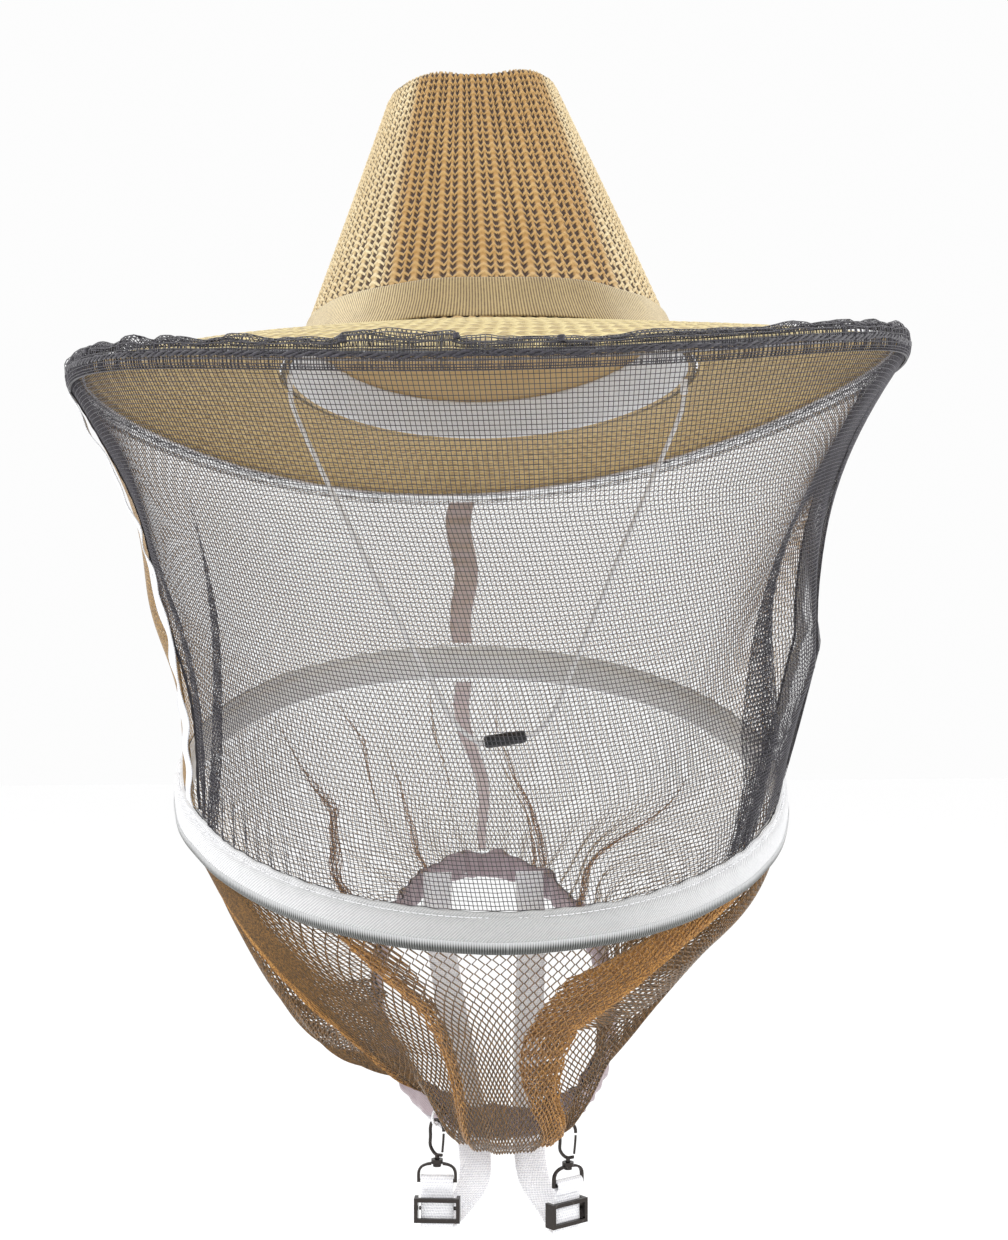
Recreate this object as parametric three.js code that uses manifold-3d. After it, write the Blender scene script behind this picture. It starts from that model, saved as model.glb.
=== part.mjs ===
// Beekeeping veil: a straw hat with a netting veil on its brim, a hoop that holds the veil off the
// face, a net skirt gathered into an elastic neck hem, and two clip-on straps.
// Millimetres, +Z up. The wearer faces -Y, and +X is at the right hand of someone facing the wearer.
// The origin is the centre of the head opening, inside the sweatband.
// An angle phi goes round the Z axis from the front (-Y) towards +X.
import * as THREE from 'three';
import { mergeVertices } from 'three/addons/utils/BufferGeometryUtils.js';
import Module from 'manifold-3d';

const wasm = await Module();
wasm.setup();

// ---------------------------------------------------------------- driving dimensions

const GAP = 0.3; // clearance between neighbouring pieces

const HEAD = { a: 90, b: 100, flare: 5 }; // crown half width and half length at its root
const CROWN_TOP = { z: 118, a: 39.5, b: 62, back: 24, lean: -6, slope: 0.06 }; // where the crown's walls end
const CROWN_ROUND = 6; // rise of the rounded top above its walls
const CREASE = { depth: 15, width: 17 }; // dent along the crown's top
const PINCH = { depth: 12, halfAngle: 0.72 }; // dent in the crown's front
const STRAW = 2;
const ROUND = 44; // facets round the hat

const BRIM_RADIUS = 184.5;
const BRIM_ARCH = 4; // rise of the brim's middle above a straight line from root to edge
const BRIM_ROOT_GAP = 0.5;
const WALL_GAP = 0.6; // between the crown's wall and the bands that lie along it
const BRIM_WIRE = { radius: 1.1, ring: 186.2 };
const BAND = { from: 2.8, height: 18, thickness: 1.2 };
const SWEATBAND = { from: 0.6, height: 18.5, thickness: 1.2 };

const HEM = { out: 3.2, wall: 0.8, half: 3.7, flange: 5 };
const HEM_ELASTIC = { radius: 0.6, inward: 3.4, below: 1.9 };

const NET = 1; // thickness of the netting's soft solids
const NET_END = GAP + NET / 2; // how far a net's edge stops short of the hem it is sewn to
const NET_RADIUS = 150; // the veil's usual radius, which turns a tape's width into an angle
const SEAM_TAPE = { width: 8, thickness: 0.7, off: 2.2 };
const BACK_TAPE = { width: 6, thickness: 0.7, off: -1.8 };
const TAPE_ENDS = 0.02; // share of a net's drop that a tape leaves free at each end
const SEAM_LEFT = { top: -1.52, bottom: -1.22 }; // phi of the join of the black and the gold net
const SEAM_RIGHT = { top: 1.75, bottom: 1.66 };

const HOOP = { x: -3, z: -199, radius: 136, tilt: 0.384, wire: 1.75 };
const HOOP_FACETS = 56;
const FERRULE = { inner: 2.05, outer: 2.9 };
const CASING = { half: 3.9, wall: 0.7, height: 16 };

const NECK = { a: 52, b: 75, y: -25, z: -292, drop: 47 };
const NECK_HEM = { half: 2.4, wall: 0.7, height: 12 };
const NECK_ELASTIC = { radius: 1, below: 3.2 };

const CORD_RADIUS = 1.1;
const CHIN = { x: 91, z: -21.8, low: -181, lean: 7.5, slope: 0.14 };
const BEAD = { half: 9.5, radius: 3, bore: 1.6, round: 0.9 };
const CHIN_TAB = { w: 2.4, d: 8, h: 7, clear: 0.6 }; // clear: room for the cord's end to swing

const WEB = { width: 13.4, thickness: 1.2 };
const LOOP = { radius: 3.2, cord: 0.6, up: 3.4 };
const HOOK = { half: 3.3, wire: 0.7, length: 14.2 };
const EYE = { half: 8.2, wire: 0.6, top: 17.2, bar: 25.5, bore: 1.25, collar: 2.4 };
const STITCHED = 28.4; // where the strap's end is stitched down, below the top of the hook
const SLIDER = { width: 18.8, height: 10, top: 32, side: 1.5, bar: 1.6 };
const SIDES = {
  left: { phi: -0.5, spin: 0, web: -0.14, from: 22, low: 15 },
  right: { phi: 0.42, spin: -0.42, web: 0.6, from: 22, low: 15 },
};

// ---------------------------------------------------------------- materials

const finish = (color, roughness, metalness = 0) => ({ color, roughness, metalness });
const FINISH = {
  straw: finish(0xd9c08e, 0.85),
  ribbon: finish(0xd3bf92, 0.8),
  white: finish(0xe9eaee, 0.85),
  blackNet: finish(0x2a2832, 0.8),
  goldNet: finish(0xa87536, 0.75),
  mauve: finish(0x8f8289, 0.9),
  elastic: finish(0xd8d8d8, 0.8),
  steel: finish(0x8c9096, 0.35, 1),
  gunmetal: finish(0x26241f, 0.38, 1),
  bead: finish(0x0f1216, 0.5),
};

const veil = new THREE.Group();

function piece(name, geometry, look, parent = veil) {
  const mesh = new THREE.Mesh(geometry, new THREE.MeshStandardMaterial(FINISH[look]));
  mesh.name = name;
  parent.add(mesh);
  return mesh;
}

// ---------------------------------------------------------------- geometry helpers

const V = (x, y, z) => new THREE.Vector3(x, y, z);
const lerp = (a, b, t) => a + (b - a) * t;
const smooth = (from, to, x) => THREE.MathUtils.smoothstep(x, from, to);
const around = (phi) => V(Math.sin(phi), -Math.cos(phi), 0);

function indexed(points, faces) {
  const geometry = new THREE.BufferGeometry();
  geometry.setAttribute('position', new THREE.Float32BufferAttribute(points.flatMap((p) => p.toArray()), 3));
  geometry.setIndex(faces.flat());
  return geometry;
}

// A grid of points joined by quads, closed along either way when asked.
function gridFaces(rows, columns, closedRows, closedColumns) {
  const faces = [];
  for (let i = 0; i < (closedRows ? rows : rows - 1); i++) {
    for (let j = 0; j < (closedColumns ? columns : columns - 1); j++) {
      const a = i * columns + j;
      const b = i * columns + ((j + 1) % columns);
      const c = ((i + 1) % rows) * columns + j;
      const d = ((i + 1) % rows) * columns + ((j + 1) % columns);
      faces.push([a, b, d], [a, d, c]);
    }
  }
  return faces;
}

// A section, a closed outline of [out, up] pairs, carried round a ring.
// place(phi) gives the section's origin and its outward direction.
function sweptRing(place, section, steps) {
  const points = [];
  for (let i = 0; i < steps; i++) {
    const { origin, out } = place((2 * Math.PI * i) / steps);
    for (const [o, up] of section) points.push(origin.clone().addScaledVector(out, o).add(V(0, 0, up)));
  }
  return facingOut(indexed(points, gridFaces(steps, section.length, true, true)));
}

const circle = (radius, sides, out = 0, up = 0) =>
  Array.from({ length: sides }, (_, k) => {
    const angle = (2 * Math.PI * k) / sides;
    return [out + radius * Math.cos(angle), up + radius * Math.sin(angle)];
  });

// A thin solid between two surfaces, each a function of (u, v) from 0 to 1. u runs round the part.
function sheet(outer, inner, nu, nv, closed) {
  const columns = nv + 1;
  const rows = closed ? nu : nu + 1;
  const points = [];
  for (const surface of [outer, inner]) {
    for (let i = 0; i < rows; i++) for (let j = 0; j <= nv; j++) points.push(surface(i / nu, j / nv));
  }
  const half = rows * columns;
  const skin = gridFaces(rows, columns, closed, false);
  const faces = [...skin, ...skin.map(([a, b, c]) => [a + half, c + half, b + half])];
  const wall = (a, b) => faces.push([a, b, b + half], [a, b + half, a + half]);
  for (let i = 0; i < (closed ? rows : rows - 1); i++) {
    const next = ((i + 1) % rows) * columns;
    wall(i * columns, next);
    wall(next + nv, i * columns + nv);
  }
  if (!closed) {
    for (let j = 0; j < nv; j++) {
      wall(j + 1, j);
      wall((rows - 1) * columns + j, (rows - 1) * columns + j + 1);
    }
  }
  return facingOut(indexed(points, faces));
}

// Turns a closed geometry's faces round if they point inwards.
function facingOut(geometry) {
  const p = geometry.attributes.position;
  const f = geometry.index.array;
  const [a, b, c] = [V(), V(), V()];
  let volume = 0;
  for (let i = 0; i < f.length; i += 3) {
    a.fromBufferAttribute(p, f[i]);
    b.fromBufferAttribute(p, f[i + 1]);
    c.fromBufferAttribute(p, f[i + 2]);
    volume += a.dot(b.cross(c));
  }
  if (volume < 0) for (let i = 0; i < f.length; i += 3) [f[i], f[i + 1]] = [f[i + 1], f[i]];
  return geometry;
}

// The same surface moved along its own normal by a distance.
const moved = (surface, by) => (u, v) => {
  const e = 0.002;
  const du = surface(u + e, v).sub(surface(u - e, v));
  const dv = surface(u, v + e).sub(surface(u, v - e));
  return surface(u, v).addScaledVector(du.cross(dv).normalize(), -by);
};

const netSolid = (surface, nu, nv, closed, off = 0, thickness = NET) =>
  sheet(moved(surface, off + thickness / 2), moved(surface, off - thickness / 2), nu, nv, closed);

function tube(points, radius, sides, steps) {
  const shape = new THREE.Shape(circle(radius, sides).map(([x, y]) => new THREE.Vector2(x, y)));
  const extrudePath = new THREE.CatmullRomCurve3(points, false, 'centripetal');
  return new THREE.ExtrudeGeometry(shape, { steps, extrudePath });
}

function solidOf(geometry) {
  const bare = geometry.index ? geometry.toNonIndexed() : geometry.clone();
  bare.deleteAttribute('normal');
  bare.deleteAttribute('uv');
  const merged = mergeVertices(bare, 1e-4);
  const vertProperties = merged.attributes.position.array;
  const triVerts = new Uint32Array(merged.index.array);
  return new wasm.Manifold(new wasm.Mesh({ numProp: 3, vertProperties, triVerts }));
}

function geometryOf(solid) {
  const { vertProperties, triVerts } = solid.getMesh();
  const geometry = new THREE.BufferGeometry();
  geometry.setAttribute('position', new THREE.Float32BufferAttribute(vertProperties, 3));
  geometry.setIndex(Array.from(triVerts));
  return geometry;
}

const joined = (...parts) => geometryOf(parts.map(solidOf).reduce((a, b) => a.add(b)));
const boxAt = (w, d, h, x, y, z) => new THREE.BoxGeometry(w, d, h).translate(x, y, z);
const rod = (radius, length, sides = 12) =>
  new THREE.CylinderGeometry(radius, radius, length, sides).rotateX(Math.PI / 2);

// ---------------------------------------------------------------- hat

// Heights round the hat: the crown's root, and the brim's edge, which dips at the front and back.
const rootZ = (phi) => -16.5 + 15 * Math.cos(phi) - 2.5 * Math.cos(2 * phi);
const edgeZ = (phi) => -26.75 + 13.5 * Math.cos(phi) - 14.75 * Math.cos(2 * phi) + 7 * Math.sin(phi);

const pinch = (phi) => {
  const w = Math.atan2(Math.sin(phi), Math.cos(phi)) / PINCH.halfAngle;
  return Math.abs(w) < 1 ? Math.cos((w * Math.PI) / 2) ** 2 : 0;
};

// A point of the crown's wall at height share h, moved outwards by grow.
function crownWall(phi, h, grow = 0) {
  const flare = HEAD.flare * Math.max(0, 1 - h / 0.12) ** 2;
  const dent = PINCH.depth * h ** 0.8 * pinch(phi);
  const a = lerp(HEAD.a, CROWN_TOP.a, h) + flare + grow;
  const b = lerp(HEAD.b, CROWN_TOP.b, h) - dent + grow;
  const x = a * Math.sin(phi);
  const y = CROWN_TOP.back * h - b * Math.cos(phi);
  return V(x + CROWN_TOP.lean * h, y, lerp(rootZ(phi), CROWN_TOP.z, h) + CROWN_TOP.slope * x * h);
}

// The crown's rounded top: share goes from 1 at the wall to 0 in the middle.
function crownCap(phi, share, grow) {
  const rim = crownWall(phi, 1, grow);
  const x = (rim.x - CROWN_TOP.lean) * share;
  const y = lerp(CROWN_TOP.back, rim.y, share);
  const crease = CREASE.depth * Math.exp(-((x / CREASE.width) ** 2)) * (1 - share ** 4);
  const dome = CROWN_ROUND * Math.sqrt(1 - share ** 2);
  return V(x + CROWN_TOP.lean, y, CROWN_TOP.z + CROWN_TOP.slope * x + grow + dome - crease);
}

function crown() {
  const nu = ROUND;
  const rings = [];
  const wall = [0, 0.04, 0.08, 0.14, 0.35, 0.6, 0.82, 1]; // shares of the wall's height
  const cap = [0.93, 0.75, 0.5, 0.25]; // shares of the way from the top's middle to its rim
  for (const grow of [0, -STRAW]) {
    const made = [];
    for (const h of wall) made.push((phi) => crownWall(phi, h, grow));
    for (const share of cap) made.push((phi) => crownCap(phi, share, grow));
    rings.push(made);
  }
  const order = [...rings[0].reverse(), ...rings[1]];
  const points = order.flatMap((ring) => Array.from({ length: nu }, (_, i) => ring((2 * Math.PI * i) / nu)));
  const faces = gridFaces(order.length, nu, false, true);
  const top = points.push(crownCap(0, 0, 0)) - 1;
  const under = points.push(crownCap(0, 0, -STRAW)) - 1;
  const last = (order.length - 1) * nu;
  for (let i = 0; i < nu; i++) {
    faces.push([top, (i + 1) % nu, i], [under, last + i, last + ((i + 1) % nu)]);
  }
  return facingOut(indexed(points, faces));
}

function brimSurface(u, v) {
  const phi = 2 * Math.PI * u;
  const root = HEAD.a + HEAD.flare + BRIM_ROOT_GAP;
  const x = lerp(root, BRIM_RADIUS, v) * Math.sin(phi);
  const y = -lerp(HEAD.b + BRIM_ROOT_GAP, BRIM_RADIUS, v) * Math.cos(phi);
  return V(x, y, lerp(rootZ(phi) + STRAW / 2, edgeZ(phi), v) + BRIM_ARCH * Math.sin(Math.PI * v));
}

const shifted = (surface, up) => (u, v) => surface(u, v).add(V(0, 0, up));

// A flat ring standing against the crown's wall.
function wallRing({ from, height, thickness }, grow) {
  const at = (off) => (u, v) => {
    const phi = 2 * Math.PI * u;
    return crownWall(phi, (from + height * v) / (CROWN_TOP.z - rootZ(phi)), off);
  };
  return sheet(at(grow + thickness), at(grow), ROUND, 3, true);
}

const brimEdge = (phi) => ({
  origin: around(phi).multiplyScalar(BRIM_WIRE.ring).setZ(edgeZ(phi)),
  out: around(phi),
});

piece('crown', crown(), 'straw');
const brimTop = shifted(brimSurface, STRAW / 2);
const brimUnderside = shifted(brimSurface, -STRAW / 2);
piece('brim', sheet(brimTop, brimUnderside, ROUND, 4, true), 'straw');
piece('brim_wire', sweptRing(brimEdge, circle(BRIM_WIRE.radius, 6), ROUND), 'steel');
piece('hat_band', wallRing(BAND, WALL_GAP), 'ribbon');
piece('sweatband', wallRing(SWEATBAND, -STRAW - WALL_GAP - SWEATBAND.thickness), 'white');

// ---------------------------------------------------------------- veil hem on the brim

const { out: hemOut, wall: hemWall, half: hemHalf, flange } = HEM;
const HEM_SECTION = [
  [-flange, hemHalf - hemWall],
  [hemOut - hemWall, hemHalf - hemWall],
  [hemOut - hemWall, -hemHalf + hemWall],
  [-flange, -hemHalf + hemWall],
  [-flange, -hemHalf],
  [hemOut, -hemHalf],
  [hemOut, hemHalf],
  [-flange, hemHalf],
];
const ELASTIC_SECTION = circle(HEM_ELASTIC.radius, 5, -HEM_ELASTIC.inward, -HEM_ELASTIC.below);

piece('veil_hem', sweptRing(brimEdge, HEM_SECTION, ROUND), 'blackNet');
piece('hem_elastic', sweptRing(brimEdge, ELASTIC_SECTION, ROUND), 'elastic');

// ---------------------------------------------------------------- hoop

const hoopRing = (phi) => ({
  origin: V(
    HOOP.x + HOOP.radius * Math.sin(phi),
    -HOOP.radius * Math.cos(HOOP.tilt) * Math.cos(phi),
    HOOP.z - HOOP.radius * Math.sin(HOOP.tilt) * Math.cos(phi),
  ),
  out: around(phi),
});

const casingInner = CASING.half - CASING.wall;
const casingTop = CASING.height / 2;
const CASING_SECTION = [
  [-CASING.half, casingTop],
  [-CASING.half, -casingTop],
  [CASING.half, -casingTop],
  [CASING.half, casingTop],
  [casingInner, casingTop],
  [casingInner, -casingTop + CASING.wall],
  [-casingInner, -casingTop + CASING.wall],
  [-casingInner, casingTop],
];

// The crimped sleeve that joins the wire's two ends, at the back: a tube open at both ends.
function ferrule() {
  const wall = 10;
  const steps = 2; // one facet of the hoop each way
  const halfAngle = (2 * Math.PI) / HOOP_FACETS;
  const points = [];
  for (let i = 0; i <= steps; i++) {
    const { origin, out } = hoopRing(Math.PI + lerp(-halfAngle, halfAngle, i / steps));
    for (const radius of [FERRULE.outer, FERRULE.inner]) {
      for (const [o, up] of circle(radius, wall)) {
        points.push(origin.clone().addScaledVector(out, o).add(V(0, 0, up)));
      }
    }
  }
  const faces = [];
  const at = (i, layer, k) => i * 2 * wall + layer * wall + (k % wall);
  const quad = (a, b, c, d) => faces.push([a, b, c], [a, c, d]);
  for (let k = 0; k < wall; k++) {
    for (let i = 0; i < steps; i++) {
      quad(at(i, 0, k), at(i, 0, k + 1), at(i + 1, 0, k + 1), at(i + 1, 0, k));
      quad(at(i, 1, k), at(i + 1, 1, k), at(i + 1, 1, k + 1), at(i, 1, k + 1));
    }
    quad(at(0, 0, k), at(0, 1, k), at(0, 1, k + 1), at(0, 0, k + 1));
    quad(at(steps, 0, k), at(steps, 0, k + 1), at(steps, 1, k + 1), at(steps, 1, k));
  }
  return facingOut(indexed(points, faces));
}

piece('hoop_wire', sweptRing(hoopRing, circle(HOOP.wire, 8), HOOP_FACETS), 'steel');
piece('hoop_ferrule', ferrule(), 'steel');
piece('hoop_casing', sweptRing(hoopRing, CASING_SECTION, HOOP_FACETS), 'white');

// ---------------------------------------------------------------- veil

// How far the net stands out from the straight line between brim and hoop.
function billow(phi, t) {
  const right = smooth(0.5, 1.2, phi) * (1 - smooth(1.5, 2.2, phi));
  const back = smooth(1.5, 2.2, Math.abs(phi));
  const waist = Math.sin(Math.PI * Math.min(1, t * lerp(1, 1.5, right)));
  return lerp(-12 - 4 * Math.sin(phi) ** 2, 6, back) * waist;
}

// The net between the brim's hem and the hoop's casing, at angle phi and share t of the way down.
function veilPoint(phi, t) {
  const wrapped = Math.atan2(Math.sin(phi), Math.cos(phi));
  const top = around(phi).multiplyScalar(BRIM_WIRE.ring + 2.4).setZ(edgeZ(phi) - HEM.half - NET_END);
  const low = hoopRing(phi).origin.add(V(0, 0, casingTop + NET_END));
  return top.lerp(low, t).addScaledVector(around(phi), billow(wrapped, t));
}

const seamAt = (seam, t) => lerp(seam.top, seam.bottom, t);
const between = (from, to) => (u, t) => veilPoint(lerp(from(t), to(t), u), t);
const SEAM_CLEAR = 0.003;

const frontNet = between((t) => seamAt(SEAM_LEFT, t) + SEAM_CLEAR, (t) => seamAt(SEAM_RIGHT, t) - SEAM_CLEAR);
const backNet = between(
  (t) => seamAt(SEAM_RIGHT, t) + SEAM_CLEAR,
  (t) => 2 * Math.PI + seamAt(SEAM_LEFT, t) - SEAM_CLEAR,
);

// A strip of tape lying along the net at a seam.
const tapeOn = (point, middle, { width, thickness, off }, nv) => {
  const strip = (u, v) => {
    const t = lerp(TAPE_ENDS, 1 - TAPE_ENDS, v);
    return point(middle(t) + ((u - 0.5) * width) / NET_RADIUS, t);
  };
  return netSolid(strip, 2, nv, false, off, thickness);
};

piece('front_veil', netSolid(frontNet, 32, 7, false), 'blackNet');
piece('back_veil', netSolid(backNet, 28, 6, false), 'goldNet');
piece('side_tape_left', tapeOn(veilPoint, (t) => seamAt(SEAM_LEFT, t), SEAM_TAPE, 10), 'white');
piece('side_tape_right', tapeOn(veilPoint, (t) => seamAt(SEAM_RIGHT, t), SEAM_TAPE, 10), 'white');
piece('back_tape', tapeOn(veilPoint, () => Math.PI, BACK_TAPE, 8), 'mauve');

// ---------------------------------------------------------------- skirt and neck hem

const neckRing = (phi) => ({
  origin: V(NECK.a * Math.sin(phi), NECK.y - NECK.b * Math.cos(phi), NECK.z - NECK.drop * Math.cos(phi)),
  out: V(Math.sin(phi) / NECK.a, -Math.cos(phi) / NECK.b, 0).normalize(),
});

// The net between the hoop's casing and the neck hem. It bags outwards at the sides.
function skirtPoint(phi, t) {
  const top = hoopRing(phi).origin.add(V(0, 0, -casingTop - NET_END));
  const low = neckRing(phi).origin.add(V(0, 0, NECK_HEM.height / 2 + NET_END));
  const bag = Math.sin(Math.PI * t);
  const out = bag * (4 + 9 * Math.sin(phi) ** 2);
  return top.lerp(low, t).addScaledVector(around(phi), out).add(V(0, 0, -7 * bag));
}

const hemTop = NECK_HEM.height / 2;
const hemInner = NECK_HEM.half - NECK_HEM.wall;
const NECK_SECTION = [
  [-NECK_HEM.half, hemTop],
  [-NECK_HEM.half, -hemTop],
  [NECK_HEM.half, -hemTop],
  [NECK_HEM.half, hemTop],
  [hemInner, hemTop],
  [hemInner, -hemTop + NECK_HEM.wall],
  [-hemInner, -hemTop + NECK_HEM.wall],
  [-hemInner, hemTop],
];
const NECK_ELASTIC_SECTION = circle(NECK_ELASTIC.radius, 6, 0, -NECK_ELASTIC.below);

piece('skirt', netSolid((u, t) => skirtPoint(2 * Math.PI * u, t), 40, 6, true), 'goldNet');
piece('skirt_tape', tapeOn(skirtPoint, () => Math.PI, BACK_TAPE, 7), 'mauve');
piece('neck_hem', sweptRing(neckRing, NECK_SECTION, 40), 'mauve');
piece('neck_elastic', sweptRing(neckRing, NECK_ELASTIC_SECTION, 40), 'elastic');

// ---------------------------------------------------------------- chin cord

const beadEnd = BEAD.half + GAP;
const CHIN_ROUTE = [
  [CHIN.x, CHIN.z - 0.2],
  [CHIN.x - 1, CHIN.z - 6],
  [CHIN.x - 14, CHIN.z - 36],
  [CHIN.x - 28, CHIN.z - 66],
  [CHIN.x - 42, CHIN.z - 96],
  [CHIN.x - 56, CHIN.z - 125],
  [CHIN.x - 68, CHIN.z - 149],
  [CHIN.x - 74, CHIN.low + 3.6],
  [beadEnd + 2, CHIN.low + 0.3],
  [beadEnd - 3, CHIN.low],
];

// The cord hangs a little to the right, and its lowest stretch slopes with the bead on it.
function chinPoint([x, z]) {
  const low = ((CHIN.z - z) / (CHIN.z - CHIN.low)) ** 2;
  const reach = 1.5 * BEAD.half;
  const rise = CHIN.slope * THREE.MathUtils.clamp(x, -reach, reach) * low ** 4;
  return V(x + CHIN.lean * low, 0, z + rise);
}

const chinPoints = [
  ...CHIN_ROUTE.map(([x, z]) => [-x, z]),
  [0, CHIN.low],
  ...CHIN_ROUTE.toReversed(),
].map(chinPoint);
piece('chin_cord', tube(chinPoints, CORD_RADIUS, 8, 60), 'white');

const beadProfile = [
  [BEAD.bore, -BEAD.half],
  [BEAD.radius - BEAD.round, -BEAD.half],
  [BEAD.radius, -BEAD.half + BEAD.round],
  [BEAD.radius, BEAD.half - BEAD.round],
  [BEAD.radius - BEAD.round, BEAD.half],
  [BEAD.bore, BEAD.half],
  [BEAD.bore, -BEAD.half],
].map(([r, z]) => new THREE.Vector2(r, z));
const bead = new THREE.LatheGeometry(beadProfile, 16).rotateZ(Math.PI / 2).rotateY(-Math.atan(CHIN.slope));
piece('chin_bead', bead.translate(CHIN.lean, 0, CHIN.low), 'bead');

for (const [side, sign] of [['left', -1], ['right', 1]]) {
  const { w, d, h, clear } = CHIN_TAB;
  piece(`chin_tab_${side}`, boxAt(w, d, h, sign * CHIN.x, 0, CHIN.z + clear + h / 2), 'white');
}

// ---------------------------------------------------------------- straps and their hardware

// A flat band along a route. Each stop is { at, wide }: a point and the direction of the width.
function band(stops, steps) {
  const route = new THREE.CatmullRomCurve3(stops.map((s) => s.at), false, 'centripetal');
  const widths = new THREE.CatmullRomCurve3(stops.map((s) => s.wide), false, 'centripetal');
  const points = [];
  for (let i = 0; i <= steps; i++) {
    const t = i / steps;
    const wide = widths.getPoint(t).normalize();
    const face = route.getTangent(t).cross(wide).normalize();
    const centre = route.getPoint(t);
    for (const [w, f] of [[-1, -1], [1, -1], [1, 1], [-1, 1]]) {
      const across = wide.clone().multiplyScalar((w * WEB.width) / 2);
      points.push(centre.clone().add(across).addScaledVector(face, (f * WEB.thickness) / 2));
    }
  }
  const faces = gridFaces(steps + 1, 4, false, true);
  const last = steps * 4;
  faces.push([0, 2, 1], [0, 3, 2], [last, last + 1, last + 2], [last, last + 2, last + 3]);
  return facingOut(indexed(points, faces));
}

// The snap hook in its own frame: the top of its bow at the origin, the bow in the XZ plane.
function hookBody() {
  const { half, wire, length } = HOOK;
  const bow = tube(
    [
      V(half * 0.75, 0, -length),
      V(-half * 0.2, 0, -length),
      V(-half, 0, -length + 3),
      V(-half, 0, -length / 2),
      V(-half, 0, -half),
      V(-half * 0.72, 0, -half * 0.3),
      V(0, 0, 0),
      V(half * 0.72, 0, -half * 0.3),
      V(half, 0, -half),
      V(half, 0, -half - 1),
    ],
    wire, 8, 22,
  );
  const shank = rod(0.9, 4.2).translate(0, 0, -length - 2.1);
  const head = rod(1.7, 0.9).translate(0, 0, -length - 4.4);
  return joined(bow, shank, head);
}

function hookGate() {
  const { half, length } = HOOK;
  const gate = [V(half, 0, -half - 2), V(half * 0.95, 0, -length / 2 - 1), V(half * 0.8, 0, -length + 1.3)];
  return tube(gate, 0.5, 8, 5);
}

// The swivel eye: a D-shaped ring under a collar that the hook's shank turns in.
function swivelEye() {
  const { half, wire, top, bar, bore, collar } = EYE;
  const outline = (grow) => {
    const shape = new THREE.Path();
    const width = half + grow;
    const crest = -top + grow;
    shape.moveTo(-width, -bar - grow);
    shape.lineTo(width, -bar - grow);
    shape.lineTo(width, -top - 5);
    shape.bezierCurveTo(width, -top - 1.5, width * 0.6, crest, 0, crest);
    shape.bezierCurveTo(-width * 0.6, crest, -width, -top - 1.5, -width, -top - 5);
    return shape.getPoints(8);
  };
  const ring = new THREE.Shape(outline(0));
  ring.holes.push(new THREE.Path(outline(-2 * wire)));
  const flat = new THREE.ExtrudeGeometry(ring, { depth: 2 * wire, bevelEnabled: false });
  const dee = flat.rotateX(Math.PI / 2).translate(0, wire, 0);
  const boss = rod(collar, 1.8, 16).translate(0, 0, -top + 0.3);
  const hole = solidOf(rod(bore, 12, 16).translate(0, 0, -top));
  const room = solidOf(rod(collar, 1.8, 16).translate(0, 0, -top - 1.55));
  return geometryOf(solidOf(dee).add(solidOf(boss)).subtract(hole).subtract(room));
}

// The slider's frame, in front of the webbing at its ends and beside it along its length.
function sliderFrame() {
  const { width, height, top, side, bar } = SLIDER;
  const front = -WEB.thickness / 2 - GAP - bar / 2;
  const depth = 2 * bar + WEB.thickness + 2 * GAP;
  const middle = -top - height / 2;
  const bars = [-top - bar / 2, -top - height + bar / 2].map((z) => boxAt(width, bar, bar, 0, front, z));
  const cheeks = [-1, 1].map((s) => boxAt(side, depth, height, (s * (width - side)) / 2, 0, middle));
  return joined(...bars, ...cheeks);
}

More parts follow.
